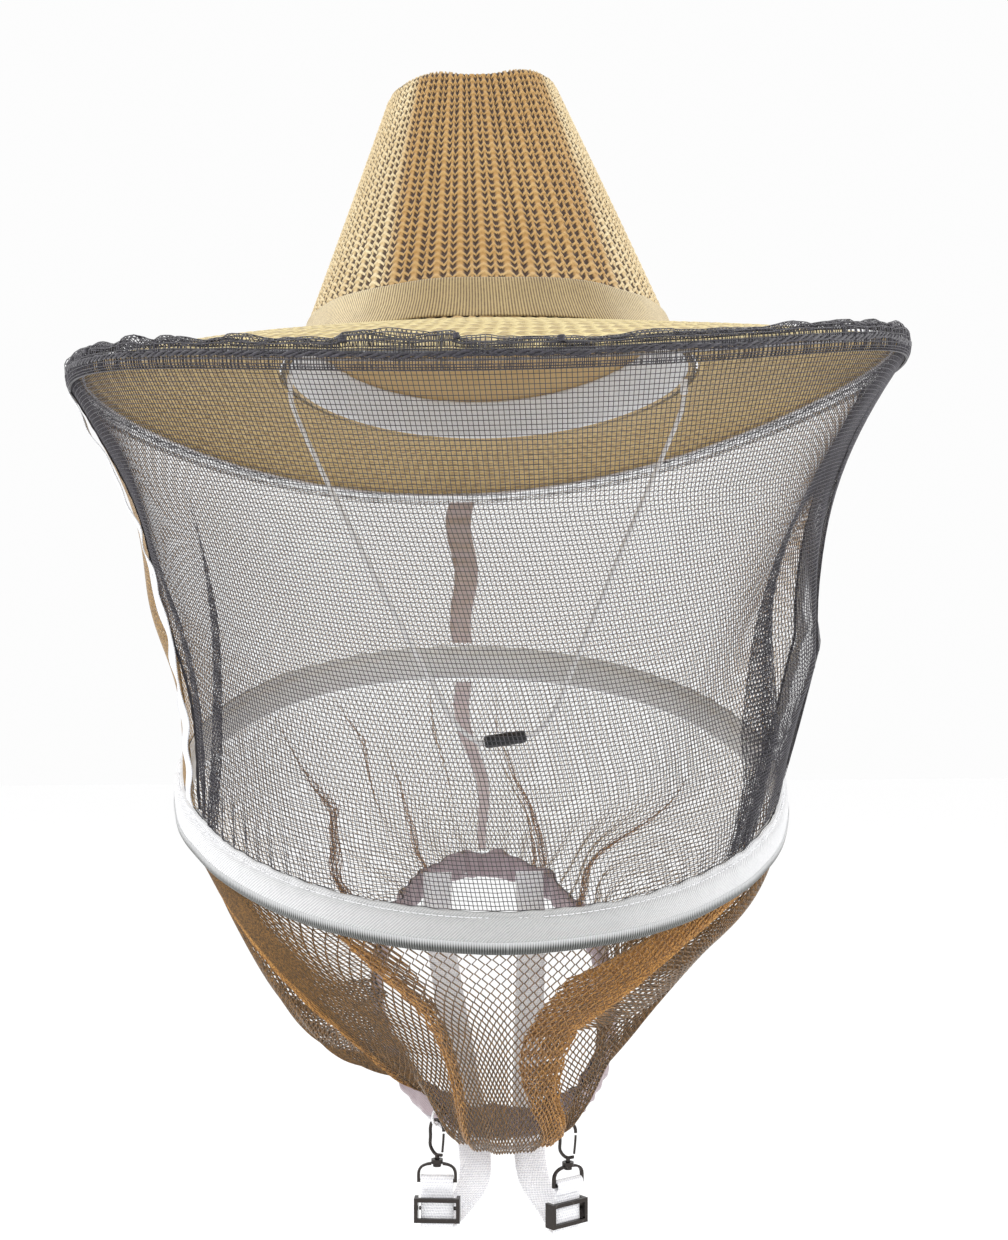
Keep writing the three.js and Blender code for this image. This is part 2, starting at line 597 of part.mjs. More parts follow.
for (const [side, made] of Object.entries(SIDES)) {
  const sign = side === 'left' ? -1 : 1;
  const { origin, out } = neckRing(made.phi);
  const loopAt = origin.clone().addScaledVector(out, NECK_HEM.half + GAP + LOOP.radius + LOOP.cord);
  loopAt.z += LOOP.up;
  const loop = new THREE.TorusGeometry(LOOP.radius, LOOP.cord, 6, 16).rotateY(Math.PI / 2);
  const fixed = new THREE.Group();
  fixed.position.copy(loopAt);
  const turn = Math.atan2(out.x, -out.y);
  piece(`hem_loop_${side}`, loop, 'white', fixed).rotation.z = turn;

  const clip = new THREE.Group();
  clip.position.set(0, 0, -LOOP.radius + LOOP.cord + HOOK.wire + GAP + 0.4);
  clip.rotation.z = turn + made.spin;
  piece(`hook_${side}`, hookBody(), 'gunmetal', clip);
  piece(`hook_gate_${side}`, hookGate(), 'gunmetal', clip);

  // The eye and slider face the way the webbing faces; the webbing's main run is a little behind them.
  const webbing = new THREE.Group();
  webbing.position.copy(clip.position);
  webbing.rotation.z = made.web;
  const run = -(WEB.thickness + GAP) / 2;
  piece(`swivel_eye_${side}`, swivelEye(), 'gunmetal', webbing);
  piece(`slider_frame_${side}`, sliderFrame().translate(0, -run, 0), 'gunmetal', webbing);
  const pinY = -run + WEB.thickness / 2 + GAP + SLIDER.bar / 2;
  const pin = rod(SLIDER.bar / 2, SLIDER.width - 2 * SLIDER.side - 2 * GAP, 10).rotateY(Math.PI / 2);
  piece(`slider_bar_${side}`, pin.translate(0, pinY, -SLIDER.top - SLIDER.height / 2), 'gunmetal', webbing);
  fixed.add(clip, webbing);
  veil.add(fixed);

  // The strap: sewn inside the back of the neck hem, under the neck, up through the slider, over
  // the eye's bar and down again for a few millimetres, where it is stitched to itself.
  const hub = loopAt.clone().add(clip.position);
  const wide = V(Math.cos(made.web), Math.sin(made.web), 0);
  const back = V(-wide.y, wide.x, 0);
  const near = (y, z) => ({ at: hub.clone().addScaledVector(back, y).add(V(0, 0, z)), wide });
  const plain = (x, y, z) => ({ at: V(sign * x, y, z), wide: V(1, 0, 0) });
  const ply = (WEB.thickness + GAP) / 2;
  const wrap = EYE.wire + GAP + WEB.thickness / 2 + 0.35;
  const barZ = -EYE.bar + EYE.wire;
  const stops = [
    plain(made.from, 32.5, -246),
    plain(made.from, 31, -256),
    plain(made.from, 22, -269),
    plain(made.from - 3, 0, -294),
    plain(made.from - 7, -35, -322),
    plain(made.from - 10, -64, -345),
    plain(made.low - 2, -80, -362),
    { at: V(hub.x * 0.5 + sign * made.low * 0.5, -87, -372.5), wide: V(1, 0, 0).lerp(wide, 0.5) },
    near(ply + 1.8, -SLIDER.top - SLIDER.height - 2.8),
    near(ply, -SLIDER.top - SLIDER.height),
    near(ply, -SLIDER.top - SLIDER.height / 2),
    near(ply, -SLIDER.top),
    near(ply, -STITCHED),
    near(wrap, barZ - 0.6),
    near(wrap * 0.7, barZ + wrap * 0.7),
    near(0, barZ + wrap),
    near(-wrap * 0.7, barZ + wrap * 0.7),
    near(-wrap, barZ - 0.6),
    near(-ply, -STITCHED + 0.8),
    near(-ply, -STITCHED),
  ];
  piece(`strap_${side}`, band(stops, 60), 'white');
}

export default veil;
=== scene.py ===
"""Beekeeping veil: a straw hat with netting, a covered hoop, a net skirt and clip-on straps.

Metres, +Z up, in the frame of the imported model. An angle phi goes round the Z axis from the
front (-Y) towards +X, and t goes down a net from its upper edge (0) to its lower edge (1).
"""
import math

import bpy
import numpy as np
from mathutils import Matrix, Vector


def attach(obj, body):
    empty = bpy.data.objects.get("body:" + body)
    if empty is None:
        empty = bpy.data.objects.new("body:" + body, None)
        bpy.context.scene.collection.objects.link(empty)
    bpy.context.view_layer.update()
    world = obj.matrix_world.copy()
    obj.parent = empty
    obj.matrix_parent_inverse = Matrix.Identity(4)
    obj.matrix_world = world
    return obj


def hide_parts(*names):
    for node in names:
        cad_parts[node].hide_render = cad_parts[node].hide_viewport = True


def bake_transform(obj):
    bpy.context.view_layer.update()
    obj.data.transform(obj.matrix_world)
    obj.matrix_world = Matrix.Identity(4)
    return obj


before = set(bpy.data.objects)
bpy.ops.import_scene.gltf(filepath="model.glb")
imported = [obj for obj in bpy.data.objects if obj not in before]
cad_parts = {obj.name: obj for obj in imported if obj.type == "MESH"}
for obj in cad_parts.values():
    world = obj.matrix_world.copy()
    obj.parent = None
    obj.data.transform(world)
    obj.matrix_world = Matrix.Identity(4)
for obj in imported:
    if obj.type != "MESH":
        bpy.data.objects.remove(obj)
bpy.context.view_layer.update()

PI = math.pi

# ---------------- sizes, as the CAD model has them

HEAD_A, HEAD_B, FLARE = 0.090, 0.100, 0.005
TOP_Z, TOP_A, TOP_B, TOP_BACK = 0.118, 0.0395, 0.062, 0.024
TOP_LEAN, TOP_SLOPE = -0.006, 0.06
TOP_ROUND = 0.006
CREASE_DEPTH, CREASE_WIDTH = 0.015, 0.017
PINCH_DEPTH, PINCH_ANGLE = 0.012, 0.72
STRAW = 0.002
BRIM_RADIUS, BRIM_RING, BRIM_BOW = 0.1845, 0.1862, 0.004
HEM_HALF = 0.0037

SEAM_LEFT = (-1.52, -1.22)
SEAM_RIGHT = (1.75, 1.66)
HOOP_X, HOOP_Z, HOOP_RADIUS, HOOP_TILT = -0.003, -0.199, 0.136, 0.384
CASING_HALF_HEIGHT = 0.008
NET_END = 0.0008
NECK_A, NECK_B, NECK_Y, NECK_Z, NECK_DROP = 0.052, 0.075, -0.025, -0.292, 0.047
NECK_HEM_HALF_HEIGHT, NECK_HEM_RISE, NECK_FULLNESS = 0.006, 0.0065, 1.15


# ---------------- helpers for numbers

def lerp(a, b, t):
    return a + (b - a) * t


def smooth(start, end, x):
    t = np.clip((x - start) / (end - start), 0, 1)
    return t * t * (3 - 2 * t)


def hill(x, centre, width):
    """1 at the centre, falling smoothly to 0 some widths away."""
    return np.exp(-(((x - centre) / width) ** 2))


def around(phi):
    return np.stack([np.sin(phi), -np.cos(phi), np.zeros_like(phi)], -1)


def unit(vectors):
    return vectors / np.maximum(np.linalg.norm(vectors, axis=-1, keepdims=True), 1e-12)


def wrapped(phi):
    return np.arctan2(np.sin(phi), np.cos(phi))


def grid(u, v):
    return np.meshgrid(u, v, indexing="ij")


def turns(count):
    """Even angles round a full turn."""
    return np.arange(count) * 2 * PI / count


def up(shape, z):
    """A (0, 0, z) vector for every entry; z is a number or an array of that shape."""
    out = np.zeros(tuple(shape) + (3,))
    out[..., 2] = z
    return out


def length_along(line):
    """How far it is along a line to each of its points."""
    return np.cumsum(np.linalg.norm(np.diff(line, axis=0, prepend=line[:1]), axis=-1))


def random_waves(x, seed, waves, pace):
    """A smooth random curve of x, within about 1 either way, the same each time for a seed."""
    r = np.random.default_rng(seed)
    total = np.zeros_like(np.asarray(x, float))
    for _ in range(waves):
        total = total + np.sin(x * pace(r) + r.uniform(0, 2 * PI)) * r.uniform(0.5, 1)
    return total / (0.75 * math.sqrt(waves))


def ripple(x, seed):
    return random_waves(x, seed, 5, lambda r: r.uniform(1.0, 3.0))


def round_ripple(phi, seed, waves, low, high):
    """The same, with whole waves round the ring."""
    return random_waves(phi, seed, waves, lambda r: r.integers(low, high + 1))


# ---------------- helpers for meshes

def grid_faces(rows, columns, closed_rows=False, closed_columns=False):
    i = np.arange(rows if closed_rows else rows - 1)
    j = np.arange(columns if closed_columns else columns - 1)
    i, j = grid(i, j)
    i2, j2 = (i + 1) % rows, (j + 1) % columns
    corners = [i * columns + j, i2 * columns + j, i2 * columns + j2, i * columns + j2]
    return np.stack(corners, -1).reshape(-1, 4)


def piece(name, points, faces, material, body, slot, replaces=(), uv=None, attributes=None, period=(0, 0),
          rounded=True):
    """A mesh object that rides on a body. uv and attributes give one value for each point. Where the uv
    goes round a closed ring, period is how far it goes. rounded shades it smooth."""
    points = np.asarray(points, np.float32).reshape(-1, 3)
    faces = np.asarray(faces, np.int32)
    mesh = bpy.data.meshes.new(name)
    mesh.vertices.add(len(points))
    mesh.vertices.foreach_set("co", points.ravel())
    mesh.loops.add(faces.size)
    mesh.loops.foreach_set("vertex_index", faces.ravel())
    mesh.polygons.add(len(faces))
    mesh.polygons.foreach_set("loop_start", np.arange(0, faces.size, faces.shape[1], dtype=np.int32))
    mesh.update(calc_edges=True)
    mesh.validate()
    mesh.polygons.foreach_set("use_smooth", np.full(len(faces), rounded))
    if uv is not None:
        corners = np.asarray(uv, float).reshape(-1, 2)[faces]
        for axis, whole in enumerate(period):
            if whole:
                behind = corners[..., axis] < corners[..., axis].max(1, keepdims=True) - whole / 2
                corners[..., axis] += whole * behind
        mesh.uv_layers.new(name="weave").data.foreach_set("uv", corners.astype(np.float32).ravel())
    for key, values in (attributes or {}).items():
        data = mesh.attributes.new(key, "FLOAT", "POINT").data
        data.foreach_set("value", np.asarray(values, np.float32).ravel())
    mesh.materials.append(material)
    obj = bpy.data.objects.new(name, mesh)
    bpy.context.scene.collection.objects.link(obj)
    if body:
        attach(obj, body)
    if replaces:
        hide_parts(*replaces)
    return obj


def threads(lines, across, radius):
    """Three-sided threads along lines of shape (count, points, 3). across is a direction out of the cloth."""
    along = unit(np.gradient(lines, axis=1))
    side = unit(np.cross(along, np.broadcast_to(across, lines.shape)))
    out = np.cross(side, along)
    radius = np.asarray(radius)
    if radius.ndim:
        radius = radius[..., None]
    rings = np.stack([lines + radius * (math.cos(a) * side + math.sin(a) * out) for a in turns(3) + PI / 2], 2)
    count, steps = lines.shape[:2]
    faces = grid_faces(steps, 3, closed_columns=True)
    faces = (faces[None] + (np.arange(count) * steps * 3)[:, None, None]).reshape(-1, 4)
    return rings.reshape(-1, 3), faces


def tube(line, radius, sides, reference=(0, 0, 1), closed=False):
    """A round tube along a line; radius is a number or one for each point."""
    line = np.asarray(line, float)
    n = len(line)
    along = unit(np.roll(line, -1, 0) - np.roll(line, 1, 0)) if closed else unit(np.gradient(line, axis=0))
    side = unit(np.cross(along, np.broadcast_to(np.asarray(reference, float), line.shape)))
    out = np.cross(side, along)
    angle = turns(sides)
    radius = np.broadcast_to(radius, (n,))[:, None, None]
    turn = np.cos(angle)[:, None] * side[:, None] + np.sin(angle)[:, None] * out[:, None]
    return (line[:, None] + radius * turn).reshape(-1, 3), grid_faces(n, sides, closed, True)


def merged(*parts):
    """One set of points and faces from several."""
    points, faces, offset = [], [], 0
    for p, f in parts:
        p = np.asarray(p).reshape(-1, 3)
        points.append(p)
        faces.append(np.asarray(f) + offset)
        offset += len(p)
    return np.concatenate(points), np.concatenate(faces)


# ---------------- the surfaces

def root_z(phi):
    """The height where the crown meets the brim."""
    return -0.0165 + 0.015 * np.cos(phi) - 0.0025 * np.cos(2 * phi)


def edge_z(phi):
    """The height of the brim's edge, which dips at the front and the back."""
    return -0.02675 + 0.0135 * np.cos(phi) - 0.01475 * np.cos(2 * phi) + 0.007 * np.sin(phi)


def crown_wall(phi, h, grow):
    """The crown's wall at the share h of its height, and grow further out."""
    w = wrapped(phi) / PINCH_ANGLE
    pinch = np.where(np.abs(w) < 1, np.cos(w * PI / 2) ** 2, 0)
    flare = FLARE * np.maximum(0, 1 - h / 0.12) ** 2
    dent = PINCH_DEPTH * np.maximum(h, 0) ** 0.8 * pinch
    a = lerp(HEAD_A, TOP_A, h) + flare + grow
    b = lerp(HEAD_B, TOP_B, h) - dent + grow
    x, y = a * np.sin(phi), TOP_BACK * h - b * np.cos(phi)
    z = lerp(root_z(phi), TOP_Z, h) + TOP_SLOPE * x * h
    return np.stack(np.broadcast_arrays(x + TOP_LEAN * h, y, z), -1)


def crown_cap(phi, share, grow):
    """The crown's creased top: share is 1 at its rim and 0 at its middle."""
    rim = crown_wall(phi, np.ones_like(phi), grow)
    x = (rim[..., 0] - TOP_LEAN) * share
    y = lerp(TOP_BACK, rim[..., 1], share)
    crease = CREASE_DEPTH * hill(x, 0, CREASE_WIDTH) * (1 - share**4)
    dome = TOP_ROUND * np.sqrt(np.maximum(0, 1 - share**2))
    return np.stack([x + TOP_LEAN, y, TOP_Z + TOP_SLOPE * x + grow + dome - crease], -1)


def brim_surface(phi, v):
    x = lerp(HEAD_A + FLARE + 0.0005, BRIM_RADIUS, v) * np.sin(phi)
    y = -lerp(HEAD_B + 0.0005, BRIM_RADIUS, v) * np.cos(phi)
    return np.stack([x, y, lerp(root_z(phi) + STRAW / 2, edge_z(phi), v) + BRIM_BOW * np.sin(PI * v)], -1)


def brim_edge(phi):
    return around(phi) * BRIM_RING + up(np.shape(phi), edge_z(phi))


def hoop_ring(phi):
    y, z = -math.cos(HOOP_TILT) * np.cos(phi), -math.sin(HOOP_TILT) * np.cos(phi)
    return np.stack([HOOP_X + HOOP_RADIUS * np.sin(phi), HOOP_RADIUS * y, HOOP_Z + HOOP_RADIUS * z], -1)


def neck_ring(phi):
    x, y = NECK_A * np.sin(phi), NECK_Y - NECK_B * np.cos(phi)
    return np.stack([x, y, NECK_Z - NECK_DROP * np.cos(phi)], -1)


def neck_out(phi):
    return unit(np.stack([np.sin(phi) / NECK_A, -np.cos(phi) / NECK_B, np.zeros_like(phi)], -1))


WAIST_FRONT, WAIST_SIDE, WAIST_BACK, BELLY = -0.012, -0.004, 0.006, 0.011


def billow(phi, t):
    """How far the veil stands out from the straight line between the brim and the hoop. The gold net
    bellies out beside the left seam."""
    right = smooth(0.5, 1.2, phi) * (1 - smooth(1.5, 2.2, phi))
    back = smooth(1.5, 2.2, np.abs(phi))
    waist = np.sin(PI * np.minimum(1, t * lerp(1, 1.5, right)))
    belly = BELLY * hill(phi, -1.72, 0.30) * hill(t, 0.62, 0.22) * np.sin(PI * t)
    return lerp(WAIST_FRONT + WAIST_SIDE * np.sin(phi) ** 2, WAIST_BACK, back) * waist + belly


def veil_point(phi, t):
    top = around(phi) * (BRIM_RING + 0.0024) + up(phi.shape, edge_z(phi) - HEM_HALF - NET_END)
    low = hoop_ring(phi) + up(phi.shape, CASING_HALF_HEIGHT + NET_END)
    return lerp(top, low, t[..., None]) + around(phi) * billow(wrapped(phi), t)[..., None]


def skirt_point(phi, t):
    top = hoop_ring(phi) - up(phi.shape, CASING_HALF_HEIGHT + NET_END)
    low = neck_ring(phi) + up(phi.shape, NECK_HEM_HALF_HEIGHT + NET_END)
    bag = np.sin(PI * t)
    out = bag * (0.004 + 0.009 * np.sin(phi) ** 2)
    return lerp(top, low, t[..., None]) + around(phi) * out[..., None] - up(phi.shape, 0.007 * bag)


# ---------------- camera, light and floor

SENSOR, LENS = 36.0, 56.7
CAMERA_DISTANCE, CAMERA_AZIMUTH = 0.9, math.radians(-5)
CAMERA_AIM_X, CAMERA_HEIGHT = 0.007, -0.126
# The studio is brighter behind the object, where the camera looks, than in front of it.
WORLD_FRONT, WORLD_BACK = 0.9, 0.98


def make_camera():
    data = bpy.data.cameras.new("camera")
    data.sensor_width = SENSOR
    data.lens = LENS
    data.clip_start = 0.01
    camera = bpy.data.objects.new("camera", data)
    aim = Vector((CAMERA_AIM_X, 0, CAMERA_HEIGHT))
    back = Vector((math.sin(CAMERA_AZIMUTH), -math.cos(CAMERA_AZIMUTH), 0))
    camera.location = aim + back * CAMERA_DISTANCE
    camera.rotation_euler = (-back).to_track_quat("-Z", "Y").to_euler()
    bpy.context.scene.collection.objects.link(camera)
    bpy.context.scene.camera = camera


def area_light(name, place, aim, size, energy):
    data = bpy.data.lights.new(name, "AREA")
    data.shape, data.size, data.energy = "DISK", size, energy
    light = bpy.data.objects.new(name, data)
    light.location = place
    light.rotation_euler = (Vector(aim) - Vector(place)).to_track_quat("-Z", "Y").to_euler()
    bpy.context.scene.collection.objects.link(light)


def make_stage():
    scene = bpy.context.scene
    scene.view_settings.view_transform = "Standard"
    world = bpy.data.worlds.new("studio")
    world.use_nodes = True
    tree = world.node_tree
    sky = tree.nodes["Background"]
    sky.inputs["Color"].default_value = (1, 1, 1, 1)
    split = tree.nodes.new("ShaderNodeSeparateXYZ")
    tree.links.new(tree.nodes.new("ShaderNodeTexCoord").outputs["Generated"], split.inputs[0])
    fade = tree.nodes.new("ShaderNodeMapRange")
    fade.inputs["From Min"].default_value, fade.inputs["From Max"].default_value = -0.8, 0.3
    fade.inputs["To Min"].default_value, fade.inputs["To Max"].default_value = WORLD_FRONT, WORLD_BACK
    tree.links.new(split.outputs["Y"], fade.inputs["Value"])
    tree.links.new(fade.outputs[0], sky.inputs["Strength"])
    scene.world = world
    centre = (0, 0, -0.12)
    area_light("left", (-1.5, -0.5, 0.9), centre, 0.7, 14)
    area_light("right", (1.5, -0.4, 0.6), centre, 0.8, 13)
    area_light("front", (-0.3, -1.6, 0.2), centre, 1.4, 4)
    floor = bpy.data.meshes.new("floor")
    half, z = 6.0, -0.7
    corners = [(-half, -half, z), (half, -half, z), (half, half, z), (-half, half, z)]
    floor.from_pydata(corners, [], [(0, 1, 2, 3)])
    paper = plain_material("floor_paper", (0.93, 0.93, 0.93), 0.9)
    shader = paper.node_tree.nodes["Principled BSDF"]
    shader.inputs["Emission Color"].default_value = (1, 1, 1, 1)
    shader.inputs["Emission Strength"].default_value = 0.1
    floor.materials.append(paper)
    obj = bpy.data.objects.new("floor", floor)
    scene.collection.objects.link(obj)


# ---------------- materials

def srgb(*rgb):
    """Linear colour from 0 to 255 display values."""
    return tuple((c / 255 / 12.92 if c / 255 <= 0.04045 else ((c / 255 + 0.055) / 1.055) ** 2.4) for c in rgb)


def rgba(colour):
    return (*colour, 1)


def plain_material(name, colour, roughness, metallic=0.0, sheen=0.0):
    material = bpy.data.materials.new(name)
    material.use_nodes = True
    shader = material.node_tree.nodes["Principled BSDF"]
    shader.inputs["Base Color"].default_value = rgba(colour)
    shader.inputs["Roughness"].default_value = roughness
    shader.inputs["Metallic"].default_value = metallic
    shader.inputs["Sheen Weight"].default_value = sheen
    return material


class Nodes:
    """A new material, with short ways to wire its nodes."""

    def __init__(self, *looks, **more):
        self.material = plain_material(*looks, **more)
        self.tree = self.material.node_tree
        self.shader = self.tree.nodes["Principled BSDF"]

    def new(self, kind, inputs=(), **settings):
        node = self.tree.nodes.new(kind)
        for key, value in settings.items():
            setattr(node, key, value)
        for key, value in dict(inputs).items():
            self.feed(value, node.inputs[key])
        return node

    def feed(self, value, socket):
        if isinstance(value, bpy.types.NodeSocket):
            self.tree.links.new(value, socket)
        else:
            socket.default_value = value

    def math(self, operation, *values):
        return self.new("ShaderNodeMath", dict(enumerate(values)), operation=operation).outputs[0]

    def mix(self, factor, a, b, blend="MIX"):
        node = self.new("ShaderNodeMix", {0: factor, 6: a, 7: b}, data_type="RGBA", blend_type=blend)
        return node.outputs[2]

    def tinted(self, colour, shade_tint):
        """colour, multiplied by the second colour where the painted-shade point attribute is 1: painted shade.
        """
        return self.mix(self.attribute("worn"), colour, rgba(shade_tint), "MULTIPLY")

    def attribute(self, name):
        return self.new("ShaderNodeAttribute", attribute_name=name).outputs["Fac"]

    def uv(self):
        return self.new("ShaderNodeUVMap", uv_map="weave").outputs[0]

    def axes(self, vector):
        return self.new("ShaderNodeSeparateXYZ", {0: vector}).outputs[:2]

    def noise(self, scale, detail=2.0, roughness=0.5, at=None):
        """Noise over the object, or over the vector at."""
        if at is None:
            at = self.new("ShaderNodeTexCoord").outputs["Object"]
        values = {"Vector": at, "Scale": scale, "Detail": detail, "Roughness": roughness}
        return self.new("ShaderNodeTexNoise", values).outputs["Fac"]

    def between(self, value, low, high):
        """value from 0 to 1 as a number from low to high."""
        return self.math("MULTIPLY_ADD", value, high - low, low)

    def step(self, value, start, end):
        """0 before start, 1 after end."""
        values = {0: value, 1: start, 2: end, 3: 0.0, 4: 1.0}
        return self.new("ShaderNodeMapRange", values, interpolation_type="SMOOTHSTEP").outputs[0]

    def colour(self, value):
        self.feed(value, self.shader.inputs["Base Color"])

    def rough(self, value, low, high):
        """Roughness from low to high as value goes from 0 to 1."""
        self.feed(self.between(value, low, high), self.shader.inputs["Roughness"])

    def bump(self, height, distance, strength):
        values = {"Height": height, "Distance": distance, "Strength": strength}
        self.feed(self.new("ShaderNodeBump", values).outputs[0], self.shader.inputs["Normal"])


def thread_material(name, dark, light, roughness, layered=None):
    """A net's thread: two tones along it and a satin sheen. layered is a pair of tones painted where folds lie
    together: painted glints.
    """
    n = Nodes(name, dark, roughness, sheen=0.3)
    tone = n.step(n.noise(1300, 2), 0.35, 0.7)
    thread = n.mix(tone, rgba(dark), rgba(light))
    if layered:
        # Painted glints where folds lie together.
        glint = n.mix(tone, rgba(layered[0]), rgba(layered[1]))
        thread = n.mix(n.attribute("layered"), thread, glint)
    n.colour(thread)
    n.rough(n.noise(900), roughness - 0.12, roughness + 0.12)
    return n.material


# ---------------- netting

class Pleats:
    """Folds laid flat in a net, from left to right. Each is (the angles of its visible edge, its widths
    as angles, and +1 if the cloth on the left lies on top or -1 if the cloth on the right does). The angles
    and widths are given at even steps down the net."""

    LAYER = 0.001
    EASE = 0.16
    ROUND = 0.008

    def __init__(self, start, end, folds, guides=()):
        """guides are (share, angles, folds before it) of threads whose way down the net is given."""
        self.start, self.end, self.folds, self.guides = start, end, folds, guides

    @staticmethod
    def along(values, t):
        return np.interp(t, np.linspace(0, 1, len(values)), values)

    def place(self, share, t):
        """The angle, the outward offset and the layering (0 to 1) at that share of the cloth's width."""
        first, last = lerp(*self.start, t), lerp(*self.end, t)
        widths = [self.along(wide, t) for _, wide, _ in self.folds]
        total = last - first + 2 * sum(widths)
        run, since, reached = share * total, 0, 0
        for fixed, angles, before in (*self.guides, (1, None, 0)):
            reach = total
            if angles is not None:
                reach = self.along(angles, t) - first + 2 * sum(widths[:before])
            part = (share - since) / (fixed - since)
            run = np.where(share >= since, reached + part * (reach - reached), run)
            since, reached = fixed, reach
        angle, out, dense = (np.zeros_like(share) for _ in range(3))
        for nudge in (-0.5, 0, 0.5):
            q = run + nudge * self.ROUND
            a, o, used = q + first - nudge * self.ROUND, 0.0, 0.0
            for (edge, _, way), width in zip(self.folds, widths):
                at = self.along(edge, t) - first + used + (width if way < 0 else 0)
                used = used + 2 * width
                wide = np.maximum(width, 1e-4)
                size = smooth(0, 0.04, width)
                inside = smooth(-0.02, 0.01, q - at + width) * smooth(-0.02, 0.01, at + 2 * width - q)
                dense = dense + size * inside / 3
                a = a - 2 * np.clip(q - at, 0, width)
                crossed = np.clip((q - at) / wide, 0, 1)
                if way > 0:
                    o = o - 2 * size * (crossed - smooth(at + 2 * wide, at + 2 * wide + self.EASE, q))
                else:
                    o = o - 2 * size * (smooth(at - wide - self.EASE, at - wide, q) - crossed)
            angle, out = angle + a / 3, out + o * self.LAYER / 3
        return angle, out, np.minimum(dense, 1)


def square_net(surface, columns, rows, radius):
    """Warp and weft threads over surface(share, t), with fewer points where the cloth is smooth."""
    share, t = grid(np.linspace(0, 1, columns + 1), np.linspace(0, 1, rows + 1))
    cloth = surface(share, t)
    out = around(np.arctan2(cloth[..., 0], -cloth[..., 1]))
    keep_t = np.unique(np.append(np.arange(0, rows + 1, 4), rows))
    warp = threads(cloth[:, keep_t], out[:, keep_t], radius)
    bend = np.linalg.norm(np.diff(cloth, 2, axis=0), axis=-1).max(1)
    close = np.convolve(np.concatenate([[0], bend, [0]]) > 0.00022, np.ones(3), "same") > 0
    index = np.arange(columns + 1)
    keep = close | (index % 3 == 0) | (index == columns)
    weft = threads(cloth[keep].transpose(1, 0, 2), (0, 0, 1), radius)
    return merged(warp, weft)


def diamond_net(surface, shares, rows, radius, lean):
    """Knitted netting over surface(share, t): each thread leans on one neighbour and then on the other.
    shares are the threads' places across the cloth, and lean is how far one moves, as a share."""
    share, t = grid(shares, np.linspace(0, 1, rows + 1))
    i, j = grid(np.arange(len(shares)), np.arange(rows + 1))
    cloth = surface(share + lean * np.where((i + j) % 2, 1, -1), t)
    return threads(cloth, around(np.arctan2(cloth[..., 0], -cloth[..., 1])), radius)


BLACK_THREAD, GOLD_THREAD, BACK_THREAD = 0.000185, 0.00041, 0.00019
THREAD_LEAN = 0.39
SKIRT_FRONT = 0.56


def make_front_veil(material):
    folds = Pleats(SEAM_LEFT, SEAM_RIGHT, [
        ((-1.30, -1.28, -1.26, -1.23, -1.18), (0, 0.01, 0.02, 0.03, 0.04), -1),
        ((-0.90, -0.90, -0.98, -1.06, -1.12), (0, 0, 0.03, 0.05, 0.06), -1),
        ((0.95, 0.93, 0.90, 0.90, 0.95), (0, 0, 0.06, 0.12, 0.15), 1),
        ((0.97, 0.95, 0.92, 0.92, 0.98), (0, 0, 0.02, 0.06, 0.10), 1),
        ((1.25, 1.25, 1.25, 1.27, 1.30), (0, 0.02, 0.08, 0.12, 0.14), -1),
    ])

    def surface(share, t):
        phi, out, _ = folds.place(share, t)
        pull = 0.0016 * ripple(phi * 6 + t * 5, 3) * np.sin(PI * t) ** 0.7
        gather = 0.0007 * round_ripple(phi, 4, 6, 60, 110) * smooth(0.88, 0.99, t)
        return veil_point(phi, t) + around(phi) * (out + pull + gather)[..., None]

    steps = 70
    edges = []
    for share in (0.001, 0.999):
        line = surface(np.full(steps, share), np.linspace(0, 1, steps))
        edges.append(tube(line, 0.0007 + 0.00015 * np.sin(np.arange(steps) * 2.1), 6))
    points, faces = merged(square_net(surface, 300, 117, BLACK_THREAD), *edges)
    veil = piece("front_veil_net", points, faces, material, None, "black_net", ["front_veil"])
    return veil


def make_back_veil(material):
    folds = Pleats(SEAM_RIGHT, (2 * PI + SEAM_LEFT[0], 2 * PI + SEAM_LEFT[1]), [])

    def surface(share, t):
        phi, out, _ = folds.place(share, t)
        pull = 0.0016 * ripple(phi * 5 + t * 3, 8) * np.sin(PI * t)
        return veil_point(phi, t) + around(phi) * (out + pull)[..., None]

    columns, rows = 320, 84
    shares = (np.arange(columns) + 0.5) / columns
    points, faces = diamond_net(surface, shares, rows, BACK_THREAD, THREAD_LEAN / columns)
    veil = piece("back_veil_net", points, faces, material, None, "gold_net", ["back_veil"])
    return veil


def bib(phi):
    """1 over the front of the neck, where the net hangs past the hem, and 0 elsewhere."""
    w = wrapped(phi)
    return smooth(-0.52, -0.36, w) * (1 - smooth(0.40, 0.54, w))


SAG_LEFT, RISE_RIGHT, DRAWN_IN, SWELL_LEFT = 0.014, 0.009, 0.024, 0.006
BIB_DROP, BIB_BELLY, BIB_OUT = 0.0115, 0.0052, 0.0035


def skirt_hang(phi, t):
    """The skirt as it hangs: low at the left, drawn in at the right, and over the hem at the front."""
    w = wrapped(phi)
    bag = np.sin(PI * t)
    left = smooth(-0.5, -1.1, w) * (1 - smooth(-1.9, -2.5, w))
    right = smooth(0.5, 1.0, w) * (1 - smooth(2.0, 2.6, w))
    over = bib(phi)
    point = skirt_point(phi, t)
    end = np.clip(t, 0, 1) ** 3
    sag = np.sin(PI * t**1.8)
    drop = SAG_LEFT * left * sag - RISE_RIGHT * right * np.sin(PI * t**1.3) + BIB_DROP * over * end
    point = point - up(phi.shape, drop)
    belly = smooth(0.5, 0.85, t) * (1 - smooth(0.93, 1.0, t))
    swing = over * (BIB_BELLY * belly + BIB_OUT * end) + SWELL_LEFT * left * (sag - bag)
    swing = swing - DRAWN_IN * hill(t, 0.72, 0.19) * right
    return point + around(phi) * swing[..., None]


